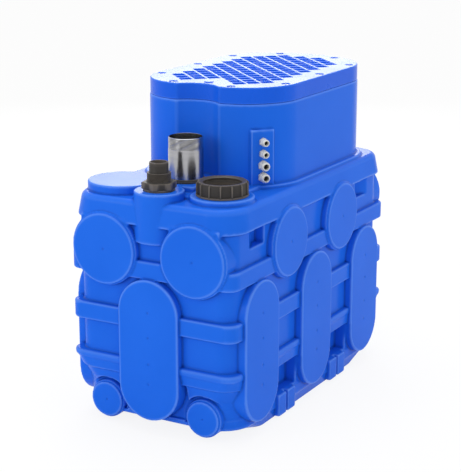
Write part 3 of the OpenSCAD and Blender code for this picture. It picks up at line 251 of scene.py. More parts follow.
def outline_gap(x, y):
    """Signed distance to the hood's outline, over a flat grid."""
    p = np.array(outline)
    q = np.roll(p, -1, axis=0)
    best = np.full(np.broadcast(x, y).shape, 1e9)
    inside = np.zeros(best.shape, bool)
    for (ax, ay), (bx, by) in zip(p, q):
        ex, ey = bx - ax, by - ay
        wx, wy = x - ax, y - ay
        t = np.clip((wx * ex + wy * ey) / (ex * ex + ey * ey), 0, 1)
        best = np.minimum(best, (wx - ex * t) ** 2 + (wy - ey * t) ** 2)
        if ay != by:
            crosses = ((ay > y) != (by > y)) & (x < ex * (y - ay) / ey + ax)
            inside ^= crosses
    return np.where(inside, -1, 1) * np.sqrt(best) - SOFT


def sample(block, points):
    """A block's distances at free points, between its grid's values."""
    f = block.field
    spot = (points - block.low) / block.cell
    first = np.clip(spot.astype(int), 0, np.array(f.shape) - 2)
    share = np.clip(spot - first, 0, 1)
    total = np.zeros(len(points))
    for i in (0, 1):
        for j in (0, 1):
            for k in (0, 1):
                weight = np.prod(np.where([i, j, k], share, 1 - share), axis=1)
                total += weight * f[first[:, 0] + i, first[:, 1] + j, first[:, 2] + k]
    return total


def slope(block, points):
    """The way in which a block's distances grow at free points: the surface's normals."""
    reach = 0.55 * block.cell
    steps = [sample(block, points + reach * axis) - sample(block, points - reach * axis)
             for axis in np.eye(3)]
    normals = np.stack(steps, 1)
    return normals / np.maximum(np.linalg.norm(normals, axis=1, keepdims=True), 1e-9)


def skin(block, name):
    """The surface of a block's form as a mesh of quads, in metres."""
    f = block.field
    solid = f < 0
    count = np.zeros([n - 1 for n in f.shape], np.int8)
    corners = [(i, j, k) for i in (0, 1) for j in (0, 1) for k in (0, 1)]
    for i, j, k in corners:
        count += solid[i:f.shape[0] - 1 + i, j:f.shape[1] - 1 + j, k:f.shape[2] - 1 + k]
    cells = np.argwhere((count > 0) & (count < 8))
    values = np.stack([f[cells[:, 0] + i, cells[:, 1] + j, cells[:, 2] + k] for i, j, k in corners])
    total = np.zeros((len(cells), 3))
    hits = np.zeros(len(cells))
    for a in range(8):
        for b in range(a + 1, 8):
            if sum(u != v for u, v in zip(corners[a], corners[b])) != 1:
                continue
            crossing = (values[a] < 0) != (values[b] < 0)
            va, vb = values[a][crossing], values[b][crossing]
            t = (va / (va - vb))[:, None]
            total[crossing] += (1 - t) * np.array(corners[a]) + t * np.array(corners[b])
            hits[crossing] += 1
    points = (cells + total / hits[:, None]) * block.cell + block.low
    shift = np.clip(sample(block, points), -0.4 * block.cell, 0.4 * block.cell)
    points -= slope(block, points) * shift[:, None]
    normals = slope(block, points)
    index = np.full(count.shape, -1, np.int32)
    index[tuple(cells.T)] = np.arange(len(cells))
    quads = []
    for axis in range(3):
        a = [slice(1, -1)] * 3
        a[axis] = slice(0, -1)
        b = list(a)
        b[axis] = slice(1, None)
        first, second = solid[tuple(a)], solid[tuple(b)]
        where = np.argwhere(first != second)
        outward = first[tuple(where.T)]
        base = where + 1
        base[:, axis] -= 1
        u, v = (axis + 1) % 3, (axis + 2) % 3
        ring = []
        for du, dv in ((-1, -1), (0, -1), (0, 0), (-1, 0)):
            c = base.copy()
            c[:, u] += du
            c[:, v] += dv
            ring.append(index[tuple(c.T)])
        ring = np.stack(ring, 1)
        ring[~outward] = ring[~outward][:, ::-1]
        quads.append(ring)
    quads = np.concatenate(quads)
    mesh = bpy.data.meshes.new(name)
    mesh.vertices.add(len(points))
    mesh.vertices.foreach_set("co", (points * MM).astype(np.float32).ravel())
    mesh.loops.add(len(quads) * 4)
    mesh.loops.foreach_set("vertex_index", quads.astype(np.int32).ravel())
    mesh.polygons.add(len(quads))
    mesh.polygons.foreach_set("loop_start", np.arange(len(quads), dtype=np.int32) * 4)
    mesh.polygons.foreach_set("use_smooth", np.ones(len(quads), bool))
    mesh.update()
    mesh.validate()
    mesh.normals_split_custom_set_from_vertices(normals.tolist())
    return mesh


def add_piece(name, mesh, material, body, slot, *nodes):
    piece = bpy.data.objects.new(name, mesh)
    scene.collection.objects.link(piece)
    mesh.materials.clear()
    mesh.materials.append(material)
    if nodes:
        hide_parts(*nodes)
    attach(piece, body)
    return piece


# Half the length and half the width over the pads, the belts, the wall between the belts, the
# waist under them, the flat underside and the shoulder, and the radii of the corners
PADS = (451.0, 248.0)
BELT, BELT_CORNER = (442.5, 239.5), 34.0
INNER, INNER_CORNER = (428.5, 225.5), 46.0
WAIST, WAIST_CORNER = (416.5, 228.5), 80.0
UNDERSIDE, UNDERSIDE_CORNER, BASE_ROLL = (285.0, 220.0), 34.0, 34.0
SHOULDER, SHOULDER_Z, SHOULDER_DRAW = (445.5, 242.5), 537.0, 9.0
DECK_TOP, DECK_CORNER = 597.0, 80.0
BELT_HEIGHTS = ((172, 188), (272, 318), (402, 448))
APRON_LOW, APRON_STEP = 88.0, 142.0
# Places along a long side: the gaps between the obround pads, and the pads themselves
GAPS = (-157.0, 145.0)
OBROUNDS = (-308.0, -6.0, 296.0)

tank = Block((-466, -263, -15), (466, 263, 825), TANK_CELL)


def base_form(x, y, z):
    t = ease(z, 0, BASE_ROLL)
    d = rect(x, y, mix_of(UNDERSIDE[0], WAIST[0], t), mix_of(UNDERSIDE[1], WAIST[1], t),
             mix_of(UNDERSIDE_CORNER, WAIST_CORNER, t))
    # A level distance is longer than the true one, most of all where the ends slant
    steep = np.where(np.abs(x) - UNDERSIDE[0] > np.abs(y) - UNDERSIDE[1], 0.25, 0.97)
    return meet(d * steep, slab(z, 0, 60), 3)


def flank_form(x, y, z):
    """The foot of the lowest belt, with an apron under it that draws in to the waist."""
    above, below = ease(z, APRON_STEP, 180), ease(z, 92, APRON_STEP)
    grow = np.where(z > APRON_STEP, 17 + 9 * above, 13 * below)
    corner = mix_of(WAIST_CORNER, BELT_CORNER, ease(z, 107, 177))
    d = rect(x, y, WAIST[0] + grow, WAIST[1] + grow * 0.42, corner)
    return meet(d * 0.95, slab(z, APRON_LOW, 184), 1.5)


def shoulder_form(x, y, z):
    drawn_in = SHOULDER_DRAW * ease(z, SHOULDER_Z, DECK_TOP)
    d = rect(x, y, SHOULDER[0] - drawn_in, SHOULDER[1] - drawn_in, DECK_CORNER) * 0.99
    return np.maximum(meet(d, slab(z, 300, DECK_TOP), 13), meet(d, slab(z, SHOULDER_Z, 900), 5))


tank.put((-420, -230, 0), (420, 230, 60), base_form)
tank.put((-420, -230, 30), (420, 230, 145),
         lambda x, y, z: meet(rect(x, y, *WAIST, WAIST_CORNER), slab(z, 30, 145), 2))
tank.put((-446, -243, 88), (446, 243, 184), flank_form)
tank.put((-430, -226, 140), (430, 226, 560),
         lambda x, y, z: meet(rect(x, y, *INNER, INNER_CORNER), slab(z, 140, 560), 2))
for low, high in BELT_HEIGHTS:
    tank.put((-446, -243, low), (446, 243, high),
             lambda x, y, z: meet(rect(x, y, *BELT, BELT_CORNER), slab(z, low, high), 4.5), 5)
tank.put((-450, -246, 537), (450, 246, 597), shoulder_form, 5)

# Round pads on their backing blocks and discs, low round pads, and obround pads, on all four
# sides. A form on a side is written in its place across, its distance out, and its height.
PAD_R, PAD_Z, BLOCK_Z = 90.0, 467.0, 487.0
LOW_PAD_R, LOW_PAD_Z, LOW_PAD_FACE = 45.5, 60.0, 428.5
END_PAD_Y, LOW_PAD_Y = (-128.5, 128.5), (-142.0, 142.0)
DISC_RIM, DISC_STEP, LOW_DISC_STEP = 4.0, 5.5, 6.0
OBROUND_R, OBROUND_LOW, OBROUND_HIGH = 86.5, 38, 404
DIMPLE_R, DIMPLE_OUT, DIMPLE_HEIGHTS = 6, 4, (320.3, 255.4, 185.7, 132.9)
ARCH_GAP, ARCH_FOOT = 13.0, 40.0


def on_side(work, side, centre, half, low, high, back, front, form, soft):
    """Puts or cuts a form on an end (0, s) or a long side (1, s), within the given window."""
    along_y, s = side
    near, far = sorted((s * back, s * front))
    corners = [(near, centre - half, low), (far, centre + half, high)]
    if along_y:
        corners = [(across, out, z) for out, across, z in corners]
    work(*corners, lambda x, y, z: form(*((x, s * y) if along_y else (y, s * x)), z), soft)


def round_form(centre, cz, r, low, high):
    return lambda across, out, z: meet(disc(across - centre, z - cz, r), slab(out, low, high), 2)


def obround_form(centre, low, high):
    def form(across, out, z):
        off = z - np.clip(z, OBROUND_LOW + OBROUND_R, OBROUND_HIGH - OBROUND_R)
        return meet(disc(across - centre, off, OBROUND_R), slab(out, low, high), 2)
    return form


def block_form(centre, cz, half_w, half_h, corner, low, high, edge=4):
    return lambda across, out, z: meet(
        rect(across - centre, z - cz, half_w, half_h, corner), slab(out, low, high), edge)


def arch_form(centre):
    bow = round_form(centre, LOW_PAD_Z, LOW_PAD_R + ARCH_GAP, 409, 500)
    return lambda across, out, z: np.maximum(bow(across, out, z), ARCH_FOOT - z)


def dimple(side, centre, cz, back, face):
    def form(across, out, z):
        return np.sqrt((across - centre) ** 2 + (z - cz) ** 2
                       + (out - face - DIMPLE_OUT) ** 2) - DIMPLE_R
    on_side(tank.cut, side, centre, 8, cz - 8, cz + 8, back, face + 1, form, 1)


def round_pads(side, centre, cz, back, sizes):
    """A pad and its disc, as radii and faces in the order given, and the pad's dimple."""
    front = max(face for r, face in sizes)
    for r, face in sizes:
        on_side(tank.put, side, centre, r, cz - r, cz + r, back, front + 1,
                round_form(centre, cz, r, back, face), 2)
    dimple(side, centre, cz, back, front)


def obround_pad(side, centre, back, face):
    on_side(tank.put, side, centre, 88, 36, 406, back, face + 1,
            obround_form(centre, back, face), 2)
    for cz in DIMPLE_HEIGHTS:
        dimple(side, centre, cz, back, face)


# The apron under the lowest belt is arched over the low pads and stops short of the obrounds
for s in (-1, 1):
    for cy in LOW_PAD_Y:
        on_side(tank.cut, (0, s), cy, 60, 36, LOW_PAD_Z + 60, 404, 450, arch_form(cy), 3)
    on_side(tank.cut, (0, s), 0, 98, 44, 141, 404, 450,
            block_form(0, 92, 97, 48, 4, 411, 500, 2), 3)

for s in (-1, 1):
    for cy in END_PAD_Y:
        on_side(tank.put, (0, s), cy, 72, 420, 550, 380, 452,
                block_form(cy, BLOCK_Z, 70, 62, 4, 380, BELT[0]), 5)
        round_pads((0, s), cy, PAD_Z, 380,
                   ((PAD_R + DISC_RIM, PADS[0] - DISC_STEP), (PAD_R, PADS[0])))
    for cy in LOW_PAD_Y:
        round_pads((0, s), cy, LOW_PAD_Z, 300, (
            (LOW_PAD_R, LOW_PAD_FACE), (LOW_PAD_R + DISC_RIM, LOW_PAD_FACE - LOW_DISC_STEP)))
    obround_pad((0, s), 0, 350, PADS[0])
    for cx in GAPS:
        on_side(tank.put, (1, s), cx, 72, 420, 550, 195, 249,
                block_form(cx, BLOCK_Z, 70, 62, 4, 195, BELT[1]), 5)
        round_pads((1, s), cx, PAD_Z, 195,
                   ((PAD_R, PADS[1]), (PAD_R + DISC_RIM, PADS[1] - DISC_STEP)))
        # A pair of foot tabs, which is one block with a slot
        on_side(tank.put, (1, s), cx, 48, 4, 68, 195, 249,
                block_form(cx, 36, 46.5, 30, 7, 180, BELT[1]), 4)
        on_side(tank.cut, (1, s), cx, 6, 0, 70, 227, 250,
                lambda across, out, z: meet(slab(across - cx, -5, 5), slab(out, 227, 300), 3), 3)
    for cx in OBROUNDS:
        obround_pad((1, s), cx, 165, PADS[1])

# Pockets between the obround pads above the foot tabs, and handholds under the shoulder, which
# are wedges that grow deeper away from the tank's end
POCKET_BACK = 197.5
HANDHOLD_X, HANDHOLD_Z = 305, 513


def handhold_form(end):
    def form(across, out, z):
        back = 227 - 27.5 * ease(HANDHOLD_X + 40 - end * across, 0, 58)
        hole = rect(end * across - HANDHOLD_X, z - HANDHOLD_Z, 39, 25, 5)
        return meet(hole, (back - out) * 0.93, 3)
    return form


for s in (-1, 1):
    for cx in GAPS:
        on_side(tank.cut, (1, s), cx, 65, 66, 142, POCKET_BACK, 262,
                block_form(cx, 104, 64.5, 38, 6, POCKET_BACK, 400), 4)
    for end in (-1, 1):
        on_side(tank.cut, (1, s), end * HANDHOLD_X, 41, HANDHOLD_Z - 27, HANDHOLD_Z + 27,
                POCKET_BACK, 262, handhold_form(end), 3)

# Deck: the vent's column, the nipple's pedestal, the bosses, the step and the hood's plinth
COLUMN_X, COLUMN_R, COLUMN_TOP = -388.5, 62.5, 619.5
INLET, BOSS_R, BOSS_TOP = (-329.0, -144.0), 79.5, 611.0
SPARE_BOSS_R = 90.0
STEP_TOP, HOOD_FOOT = 605.5, 14.0
SEAM_Z = 810.0
tank.put((-451, -63, 494), (-326, 63, COLUMN_TOP), lambda x, y, z: meet(
    disc(x - COLUMN_X, y, COLUMN_R), slab(z, 494, COLUMN_TOP), 3), 3)
tank.put((-330, -63, 560), (-169, 63, COLUMN_TOP), lambda x, y, z: meet(
    rect(x + 249.5, y, 80.5, COLUMN_R, 8), slab(z, 540, COLUMN_TOP), 4), 6)
tank.put((-420, 53, 560), (-238, 235, COLUMN_TOP), lambda x, y, z: meet(
    disc(x - INLET[0], y + INLET[1], SPARE_BOSS_R), slab(z, 540, COLUMN_TOP), 3), 3)
tank.put((-410, -225, 560), (-248, -63, BOSS_TOP), lambda x, y, z: meet(
    disc(x - INLET[0], y - INLET[1], BOSS_R), slab(z, 540, BOSS_TOP), 4), 5)
tank.put((-366, -168, 560), (-58, 168, STEP_TOP), lambda x, y, z: meet(
    rect(x + 211, y, 153, 166, 20), slab(z, 540, STEP_TOP), 4), 6)
tank.put((-220, -225, 560), (440, 225, 606), lambda x, y, z: meet(
    np.maximum(outline_gap(x, y) - HOOD_FOOT, rect(x, y, 436.5, 233.5, DECK_CORNER)),
    slab(z, 540, STEP_TOP), 4), 5)
tank.put((-206, -208, 537), (446, 208, 812),
         lambda x, y, z: meet(outline_gap(x, y), slab(z, 537, SEAM_Z), 4), 5)

# The shell: the inside follows the outside, one wall thickness in. The glands' panel is thick,
# and the mouth is open inside a wide flange with a low rim round the lid's gasket.
inner = tank.field + WALL
FLANGE_UNDER, FLANGE_W, RIM_W, RIM_H = 786.0, 46.0, 9.0, 3.0
PANEL_CENTRE, PANEL_TURN = (-58.5, -61.0), math.radians(231)
PANEL_FACE, PANEL_TOP, PANEL_SHIFT = 151.5, 747.0, 17.0


def on_panel_plan(x, y):
    """Places out of the panel's face and across it."""
    return turned_by(x - PANEL_CENTRE[0], y - PANEL_CENTRE[1], PANEL_TURN)


def panel_form(x, y, z, inner_face, low):
    u, v = on_panel_plan(x, y)
    return meet(np.maximum(slab(v, -48, 14), slab(u, inner_face, PANEL_FACE)),
                slab(z, low, PANEL_TOP), 2)


panel_box = ((-215, -215, 600), (-115, -120, 750))
part, x, y, z = tank.window(*panel_box, 16)
inner[part] = np.maximum(inner[part], -panel_form(x, y, z, 133.5, 590))
inner = np.maximum(inner, (tank.axes[2] - FLANGE_UNDER)[None, None, :])
tank.put(*panel_box, lambda x, y, z: panel_form(x, y, z, 120, 600), 3)
tank.field = np.maximum(tank.field, -inner).astype(np.float32)
tank.cut((-206, -208, 785), (446, 208, 815),
         lambda x, y, z: np.maximum(outline_gap(x, y) + FLANGE_W, slab(z, 700, 900)), 2)
tank.cut((-206, -208, 807), (446, 208, 815),
         lambda x, y, z: np.maximum(outline_gap(x, y) + RIM_W, slab(z, SEAM_Z - RIM_H, 900)), 0.5)


def bore(cx, cy, r, low, high):
    tank.cut((cx - r, cy - r, low), (cx + r, cy + r, high),
             lambda x, y, z: np.maximum(disc(x - cx, y - cy, r), slab(z, low, high)), 1)


bore(COLUMN_X, 0, 23.6, 600, 640)
bore(NIPPLE_X, 0, 47.05, 600, 640)
bore(*INLET, 56.1, 590, 640)
# Heights and thread diameters of the four glands
GLANDS = ((716.5, 16.0), (686.5, 16.0), (656.5, 20.0), (626.5, 20.0))
for gz, gd in GLANDS:
    gx, gy = (c + PANEL_FACE * a - PANEL_SHIFT * b for c, a, b in zip(
        PANEL_CENTRE, (math.cos(PANEL_TURN), math.sin(PANEL_TURN)),
        (-math.sin(PANEL_TURN), math.cos(PANEL_TURN))))

    def gland_bore(x, y, z):
        u, v = on_panel_plan(x, y)
        return np.maximum(disc(v + PANEL_SHIFT, z - gz, gd / 2 + 0.1), slab(u, 120, 170))

    tank.cut((gx - 30, gy - 30, gz - 12), (gx + 30, gy + 30, gz + 12), gland_bore, 1)

tank_mesh = skin(tank, "tank_shell")


def srgb(r, g, b):
    """A colour as seen on screen, 0 to 255, turned into the shader's numbers."""
    return tuple(((c / 255 + 0.055) / 1.055) ** 2.4 if c > 10 else c / 3295
                 for c in (r, g, b)) + (1,)


def new_group(name, inputs, outputs):
    """An empty node group with its named sockets; returns the group and its two end nodes."""
    group = bpy.data.node_groups.new(name, "ShaderNodeTree")
    for label, kind, value in inputs:
        socket = group.interface.new_socket(label, in_out="INPUT", socket_type=kind)
        if value is not None:
            socket.default_value = value
    for label, kind in outputs:
        group.interface.new_socket(label, in_out="OUTPUT", socket_type=kind)
    return group, group.nodes.new("NodeGroupInput"), group.nodes.new("NodeGroupOutput")


FLOAT, COLOR, VECTOR = "NodeSocketFloat", "NodeSocketColor", "NodeSocketVector"


def noise(tree, scale_from, detail, factor=1.0):
    """A noise in the object's own coordinates, its scale led by a socket."""
    place = tree.nodes.new("ShaderNodeTexCoord")
    node = tree.nodes.new("ShaderNodeTexNoise")
    node.inputs["Detail"].default_value = detail
    times = tree.nodes.new("ShaderNodeMath")
    times.operation = "MULTIPLY"
    times.inputs[1].default_value = factor
    link(tree, scale_from, times.inputs[0])
    link(tree, times.outputs[0], node.inputs["Scale"])
    link(tree, place.outputs["Object"], node.inputs["Vector"])
    return node


# Cloudy shade: the base colour drifts towards a second one over a few centimetres
cloud, into, out = new_group(
    "cloudy_shade",
    [("Color", COLOR, None), ("Second color", COLOR, None), ("Scale", FLOAT, 8.0),
     ("Amount", FLOAT, 0.5)],
    [("Color", COLOR), ("Mask", FLOAT)])
soft = noise(cloud, into.outputs["Scale"], 3)
spread = cloud.nodes.new("ShaderNodeMapRange")
spread.inputs["From Min"].default_value = 0.35
spread.inputs["From Max"].default_value = 0.65
link(cloud, soft.outputs["Fac"], spread.inputs["Value"])
amount = cloud.nodes.new("ShaderNodeMath")
amount.operation = "MULTIPLY"
link(cloud, spread.outputs["Result"], amount.inputs[0])
link(cloud, into.outputs["Amount"], amount.inputs[1])
mix = cloud.nodes.new("ShaderNodeMix")
mix.data_type = "RGBA"
link(cloud, amount.outputs[0], mix.inputs["Factor"])
link(cloud, into.outputs["Color"], mix.inputs["A"])
link(cloud, into.outputs["Second color"], mix.inputs["B"])
link(cloud, mix.outputs["Result"], out.inputs["Color"])
link(cloud, amount.outputs[0], out.inputs["Mask"])

# Fine grain: a bump from two sizes of noise, as moulded plastic and castings have
grain, into, out = new_group(
    "fine_grain",
    [("Scale", FLOAT, 400.0), ("Depth", FLOAT, 0.0002), ("Strength", FLOAT, 0.3)],
    [("Normal", VECTOR), ("Height", FLOAT)])
fine = noise(grain, into.outputs["Scale"], 4)
coarse = noise(grain, into.outputs["Scale"], 2, 0.12)
height = grain.nodes.new("ShaderNodeMath")
height.operation = "ADD"
link(grain, fine.outputs["Fac"], height.inputs[0])
link(grain, coarse.outputs["Fac"], height.inputs[1])
bump = grain.nodes.new("ShaderNodeBump")
link(grain, height.outputs[0], bump.inputs["Height"])
link(grain, into.outputs["Depth"], bump.inputs["Distance"])
link(grain, into.outputs["Strength"], bump.inputs["Strength"])
link(grain, bump.outputs["Normal"], out.inputs["Normal"])
link(grain, height.outputs[0], out.inputs["Height"])

# Edge highlight, hollow shade and wear: the sharper an outer edge, the nearer the colour comes to a
# paler one, a painted highlight, and inner corners grow darker, painted shade; on the metal, rubber
# and black plastic parts these also stand for handling and dirt
edges, into, out = new_group(
    "edge_highlight_hollow_shade_and_wear",
    [("Color", COLOR, None), ("Edge color", COLOR, None), ("Hollow color", COLOR, None),
     ("Edge", FLOAT, 0.8), ("Hollow", FLOAT, 0.6)],
    [("Color", COLOR), ("Edge mask", FLOAT)])
shape = edges.nodes.new("ShaderNodeNewGeometry")
masks = []
for low, high, share in ((0.505, 0.56, "Edge"), (0.495, 0.43, "Hollow")):
    step = edges.nodes.new("ShaderNodeMapRange")
    step.inputs["From Min"].default_value = low
    step.inputs["From Max"].default_value = high
    link(edges, shape.outputs["Pointiness"], step.inputs["Value"])
    times = edges.nodes.new("ShaderNodeMath")
    times.operation = "MULTIPLY"
    link(edges, step.outputs["Result"], times.inputs[0])
    link(edges, into.outputs[share], times.inputs[1])
    masks.append(times.outputs[0])
color = into.outputs["Color"]
for mask, second in zip(masks, ("Edge color", "Hollow color")):
    mix = edges.nodes.new("ShaderNodeMix")
    mix.data_type = "RGBA"
    link(edges, mask, mix.inputs["Factor"])
    link(edges, color, mix.inputs["A"])
    link(edges, into.outputs[second], mix.inputs["B"])
    color = mix.outputs["Result"]
link(edges, color, out.inputs["Color"])
link(edges, masks[0], out.inputs["Edge mask"])


def place_group(tree, group, **values):
    """Puts a shared effect into a material, with its own values by socket name."""
    node = tree.nodes.new("ShaderNodeGroup")
    node.node_tree = group
    for label, value in values.items():
        node.inputs[label.replace("_", " ")].default_value = value
    return node


def finish(name, base, second, roughness, metallic=0.0, cloud_scale=8.0, cloud_amount=0.5,
           grain_scale=400.0, depth=0.0002, strength=0.3, edge=None, hollow=None,
           edge_amount=0.8, hollow_amount=0.6, rough_swing=0.08, shine=0.5):
    """A material from the shared effects: cloudy colour, painted edge highlight and hollow shade
    (partly wear), fine grain.
    """
    material = bpy.data.materials.new(name)
    material.use_nodes = True
    tree = material.node_tree
    shader = tree.nodes["Principled BSDF"]
    shader.inputs["Metallic"].default_value = metallic
    shader.inputs["Specular IOR Level"].default_value = shine
    shade = place_group(tree, cloud, Color=base, Second_color=second, Scale=cloud_scale,
                        Amount=cloud_amount)
    color = shade.outputs["Color"]
    if edge:
        # Painted highlight on the outer edges and painted shade in the inner corners
        edge_light_and_wear = place_group(tree, edges, Edge_color=edge, Hollow_color=hollow or second,
                           Edge=edge_amount, Hollow=hollow_amount)
        link(tree, color, edge_light_and_wear.inputs["Color"])
        color = edge_light_and_wear.outputs["Color"]
    link(tree, color, shader.inputs["Base Color"])
    rough = tree.nodes.new("ShaderNodeMapRange")
    rough.inputs["To Min"].default_value = roughness - rough_swing / 2
    rough.inputs["To Max"].default_value = roughness + rough_swing / 2
    link(tree, shade.outputs["Mask"], rough.inputs["Value"])
    link(tree, rough.outputs["Result"], shader.inputs["Roughness"])
    bumps = place_group(tree, grain, Scale=grain_scale, Depth=depth, Strength=strength)
    link(tree, bumps.outputs["Normal"], shader.inputs["Normal"])
    return material


# The pale edge colour is a painted highlight along the moulding's edges, and the dark hollow colour
# is painted shade in its recesses and creases
tank_blue = finish("blue_polyethylene", srgb(32, 105, 226), srgb(25, 98, 218), 0.24,
                   cloud_scale=5, grain_scale=700, depth=0.00008, strength=0.2, shine=0.05,
                   edge=srgb(130, 176, 255), hollow=srgb(4, 36, 125), edge_amount=0.45,
                   hollow_amount=0.8)
add_piece("tank_moulding", tank_mesh, tank_blue, "station", "tank_plastic", "tank")

# ---------------------------------------------------------------------------
# Lid. The moulded cover on the hood: a plate with square pockets on the slant, a skirt, a rib
# inside it, and a deep recess for each of its screws. It is made as the tank is.
# ---------------------------------------------------------------------------
LID_TOP, LID_PLATE, LID_RIB = 852.0, 12.0, 8.0
SCREW_INSET, RECESS_R, RECESS_H, SCREW_HOLE_R = 21.0, 11.0, 8.0, 4.5
POCKET_PITCH, POCKET, POCKET_DEPTH, BARE_EDGE = 37.0, 30.0, 4.0, 44.0
PLUG_X, PLUG_D = -147.0, 24.0


def on_arc(centre, r, degrees):
    return (centre[0] + r * math.cos(math.radians(degrees)),
            centre[1] + r * math.sin(math.radians(degrees)))


FRONT_R, SIDE_Y = CORNER_R - SCREW_INSET, 207.5 - SCREW_INSET
half_screws = [
    (CORNER[0] - FRONT_R * math.cos(math.radians(11)),
     CORNER[1] + FRONT_R * math.sin(math.radians(11))),
    (CORNER[0] - FRONT_R * math.sin(math.radians(9)),
     CORNER[1] + FRONT_R * math.cos(math.radians(9))),
    ((CORNER[0] + END_CORNER[0]) / 2 + 5, SIDE_Y),
    on_arc(END_CORNER, END_CORNER_R - SCREW_INSET, 77),
    on_arc((END_C, 0), END_R - SCREW_INSET, 23)]
screws = [(x, s * y) for x, y in half_screws for s in (1, -1)]

LID_CELL = 2.0
# How far the skirt lies inside the hood's outline, and the inner rib's place from it
SKIRT_IN, RIB_IN = 1.4, 46.0

lid_box = ((-214, -216, 804), (452, 216, 858))
lid = Block(*lid_box, LID_CELL)
part, x, y, z = lid.window(*lid_box, 0)
edge = outline_gap(x, y)
near_screw = np.min([np.sqrt((x - sx) ** 2 + (y - sy) ** 2) for sx, sy in screws], axis=0)
outer = np.where(z > SEAM_Z + 20, meet(edge + SKIRT_IN, slab(z, SEAM_Z - 20, LID_TOP), 2.5),
                 np.maximum(edge + SKIRT_IN, SEAM_Z + 0.3 - z))
room = np.maximum(edge + LID_RIB, z - (LID_TOP - LID_PLATE))
ribs = np.minimum(slab(edge, -RIB_IN, LID_RIB - RIB_IN), near_screw - SCREW_HOLE_R - LID_RIB)
lid.field = np.maximum(outer, -np.maximum(room, -ribs)).astype(np.float32)
holes = np.minimum(near_screw - SCREW_HOLE_R,
                   np.maximum(near_screw - RECESS_R, LID_TOP - RECESS_H - z))
holes = np.minimum(holes, np.sqrt((x - PLUG_X) ** 2 + y ** 2) - PLUG_D / 2 + 4)
u, v = (x + y) / math.sqrt(2), (x - y) / math.sqrt(2)
mid_u, mid_v = (POCKET_PITCH * np.round(t / POCKET_PITCH) for t in (u, v))
mid_x, mid_y = (mid_u + mid_v) / math.sqrt(2), (mid_u - mid_v) / math.sqrt(2)
half_diagonal = POCKET / math.sqrt(2)
kept = np.ones(edge.shape, bool)
for dx, dy in ((1, 0), (-1, 0), (0, 1), (0, -1)):
    px, py = mid_x + dx * half_diagonal, mid_y + dy * half_diagonal
    kept &= (outline_gap(px, py) < -BARE_EDGE) & (np.sqrt((px - PLUG_X) ** 2 + py ** 2) >= PLUG_D)
pockets = np.where(kept, rect(u - mid_u, v - mid_v, POCKET / 2, POCKET / 2, 2), 20)
pockets = meet(pockets, LID_TOP - POCKET_DEPTH - z, 0.5)
lid.field = np.maximum(lid.field, -np.minimum(holes, pockets)).astype(np.float32)
# The pale edge colour is a painted highlight on the lid's edges, and the dark hollow colour is
# painted shade on its pocket floors and recesses
lid_blue = finish("blue_lid", srgb(22, 94, 222), srgb(16, 87, 213), 0.3, cloud_scale=6,
                  grain_scale=900, depth=0.0001, strength=0.25, shine=0.1,
                  edge=srgb(80, 144, 250), hollow=srgb(5, 50, 160), edge_amount=0.4)
add_piece("lid_moulding", skin(lid, "lid_shell"), lid_blue, "station", "tank_plastic", "lid")

# ---------------------------------------------------------------------------
# Inlet ring nut. Black polypropylene, moulded, with fourteen thin ribs for a strap wrench. It
# turns on the collar's thread and presses the lip seal round the pipe.
# ---------------------------------------------------------------------------
NUT_RIBS, NUT_CORE, NUT_STEPS = 14, 61.6, 24


def turned(rows, steps, shape=None, start=0.0):
    """Rings of points round an upright axis. A row is a radius, a height and a share of shape."""
    angles = start + np.arange(steps) * 2 * math.pi / steps
    rings = []
    for r, z, share in rows:
        radius = r + (share * shape(angles, z) if share else 0 * angles)
        rings.append(np.stack([radius * np.cos(angles), radius * np.sin(angles),
                               np.full(steps, z)], 1))
    return np.array(rings)


def ring_mesh(name, stacks, sharp=32):
    """Closed stacks of rings, in millimetres, as one mesh in metres."""
    points, faces = [], []
    for rings in stacks:
        count, steps = rings.shape[:2]
        first = sum(len(p) for p in points)
        points.append(rings.reshape(-1, 3))
        for i in range(count):
            a, b = first + i * steps, first + (i + 1) % count * steps
            faces += [(a + k, a + (k + 1) % steps, b + (k + 1) % steps, b + k)
                      for k in range(steps)]
    mesh = bpy.data.meshes.new(name)
    mesh.from_pydata((np.concatenate(points) * MM).tolist(), [], faces)
    tidy = bmesh.new()
    tidy.from_mesh(mesh)
    bmesh.ops.recalc_face_normals(tidy, faces=tidy.faces)
    tidy.to_mesh(mesh)
    tidy.free()
    mesh.polygons.foreach_set("use_smooth", [True] * len(mesh.polygons))
    mesh.set_sharp_from_angle(angle=math.radians(sharp))
    return mesh


def moved(rings, x, y, z=0.0):
    return rings + np.array([x, y, z])


def nut_shape(angles, z):
    """Ribs that stand on flats, as the nut's wall between two ribs is nearly straight."""
    sector = 2 * math.pi / NUT_RIBS
    off = np.abs((angles + sector / 2) % sector - sector / 2)
    flat = NUT_CORE * (math.cos(sector / 2) / np.cos(sector / 2 - off) - 1)
    rib = 3.4 * (1 - ease(off * NUT_CORE, 1.7, 3.0))
    return flat * 0.8 + rib


nut_rows = [(64.2, 0.4, 0), (65.0, 1.0, 0), (65.0, 4.6, 0), (64.2, 5.4, 0), (NUT_CORE, 6.4, 1),
            (NUT_CORE, 30.6, 1), (NUT_CORE - 0.6, 32.0, 1), (NUT_CORE - 1.0, 33.4, 0.55),
            (60.2, 35.4, 0.25), (59.0, 36.0, 0.1), (53.4, 36.0, 0), (52.4, 35.7, 0),
            (47.9, 32.6, 0), (47.6, 32.0, 0), (47.6, 31.2, 0), (49.4, 30.8, 0), (49.4, 29.8, 0),
            (47.6, 29.4, 0), (47.6, 28.6, 0), (49.4, 28.2, 0), (49.4, 27.4, 0), (47.6, 27.0, 0),
            (47.6, 25.9, 0), (56.4, 25.9, 0), (56.4, 0.4, 0)]
nut_mesh = ring_mesh("ring_nut", [moved(turned(nut_rows, NUT_RIBS * NUT_STEPS, nut_shape),
                                        *INLET, BOSS_TOP)], 28)
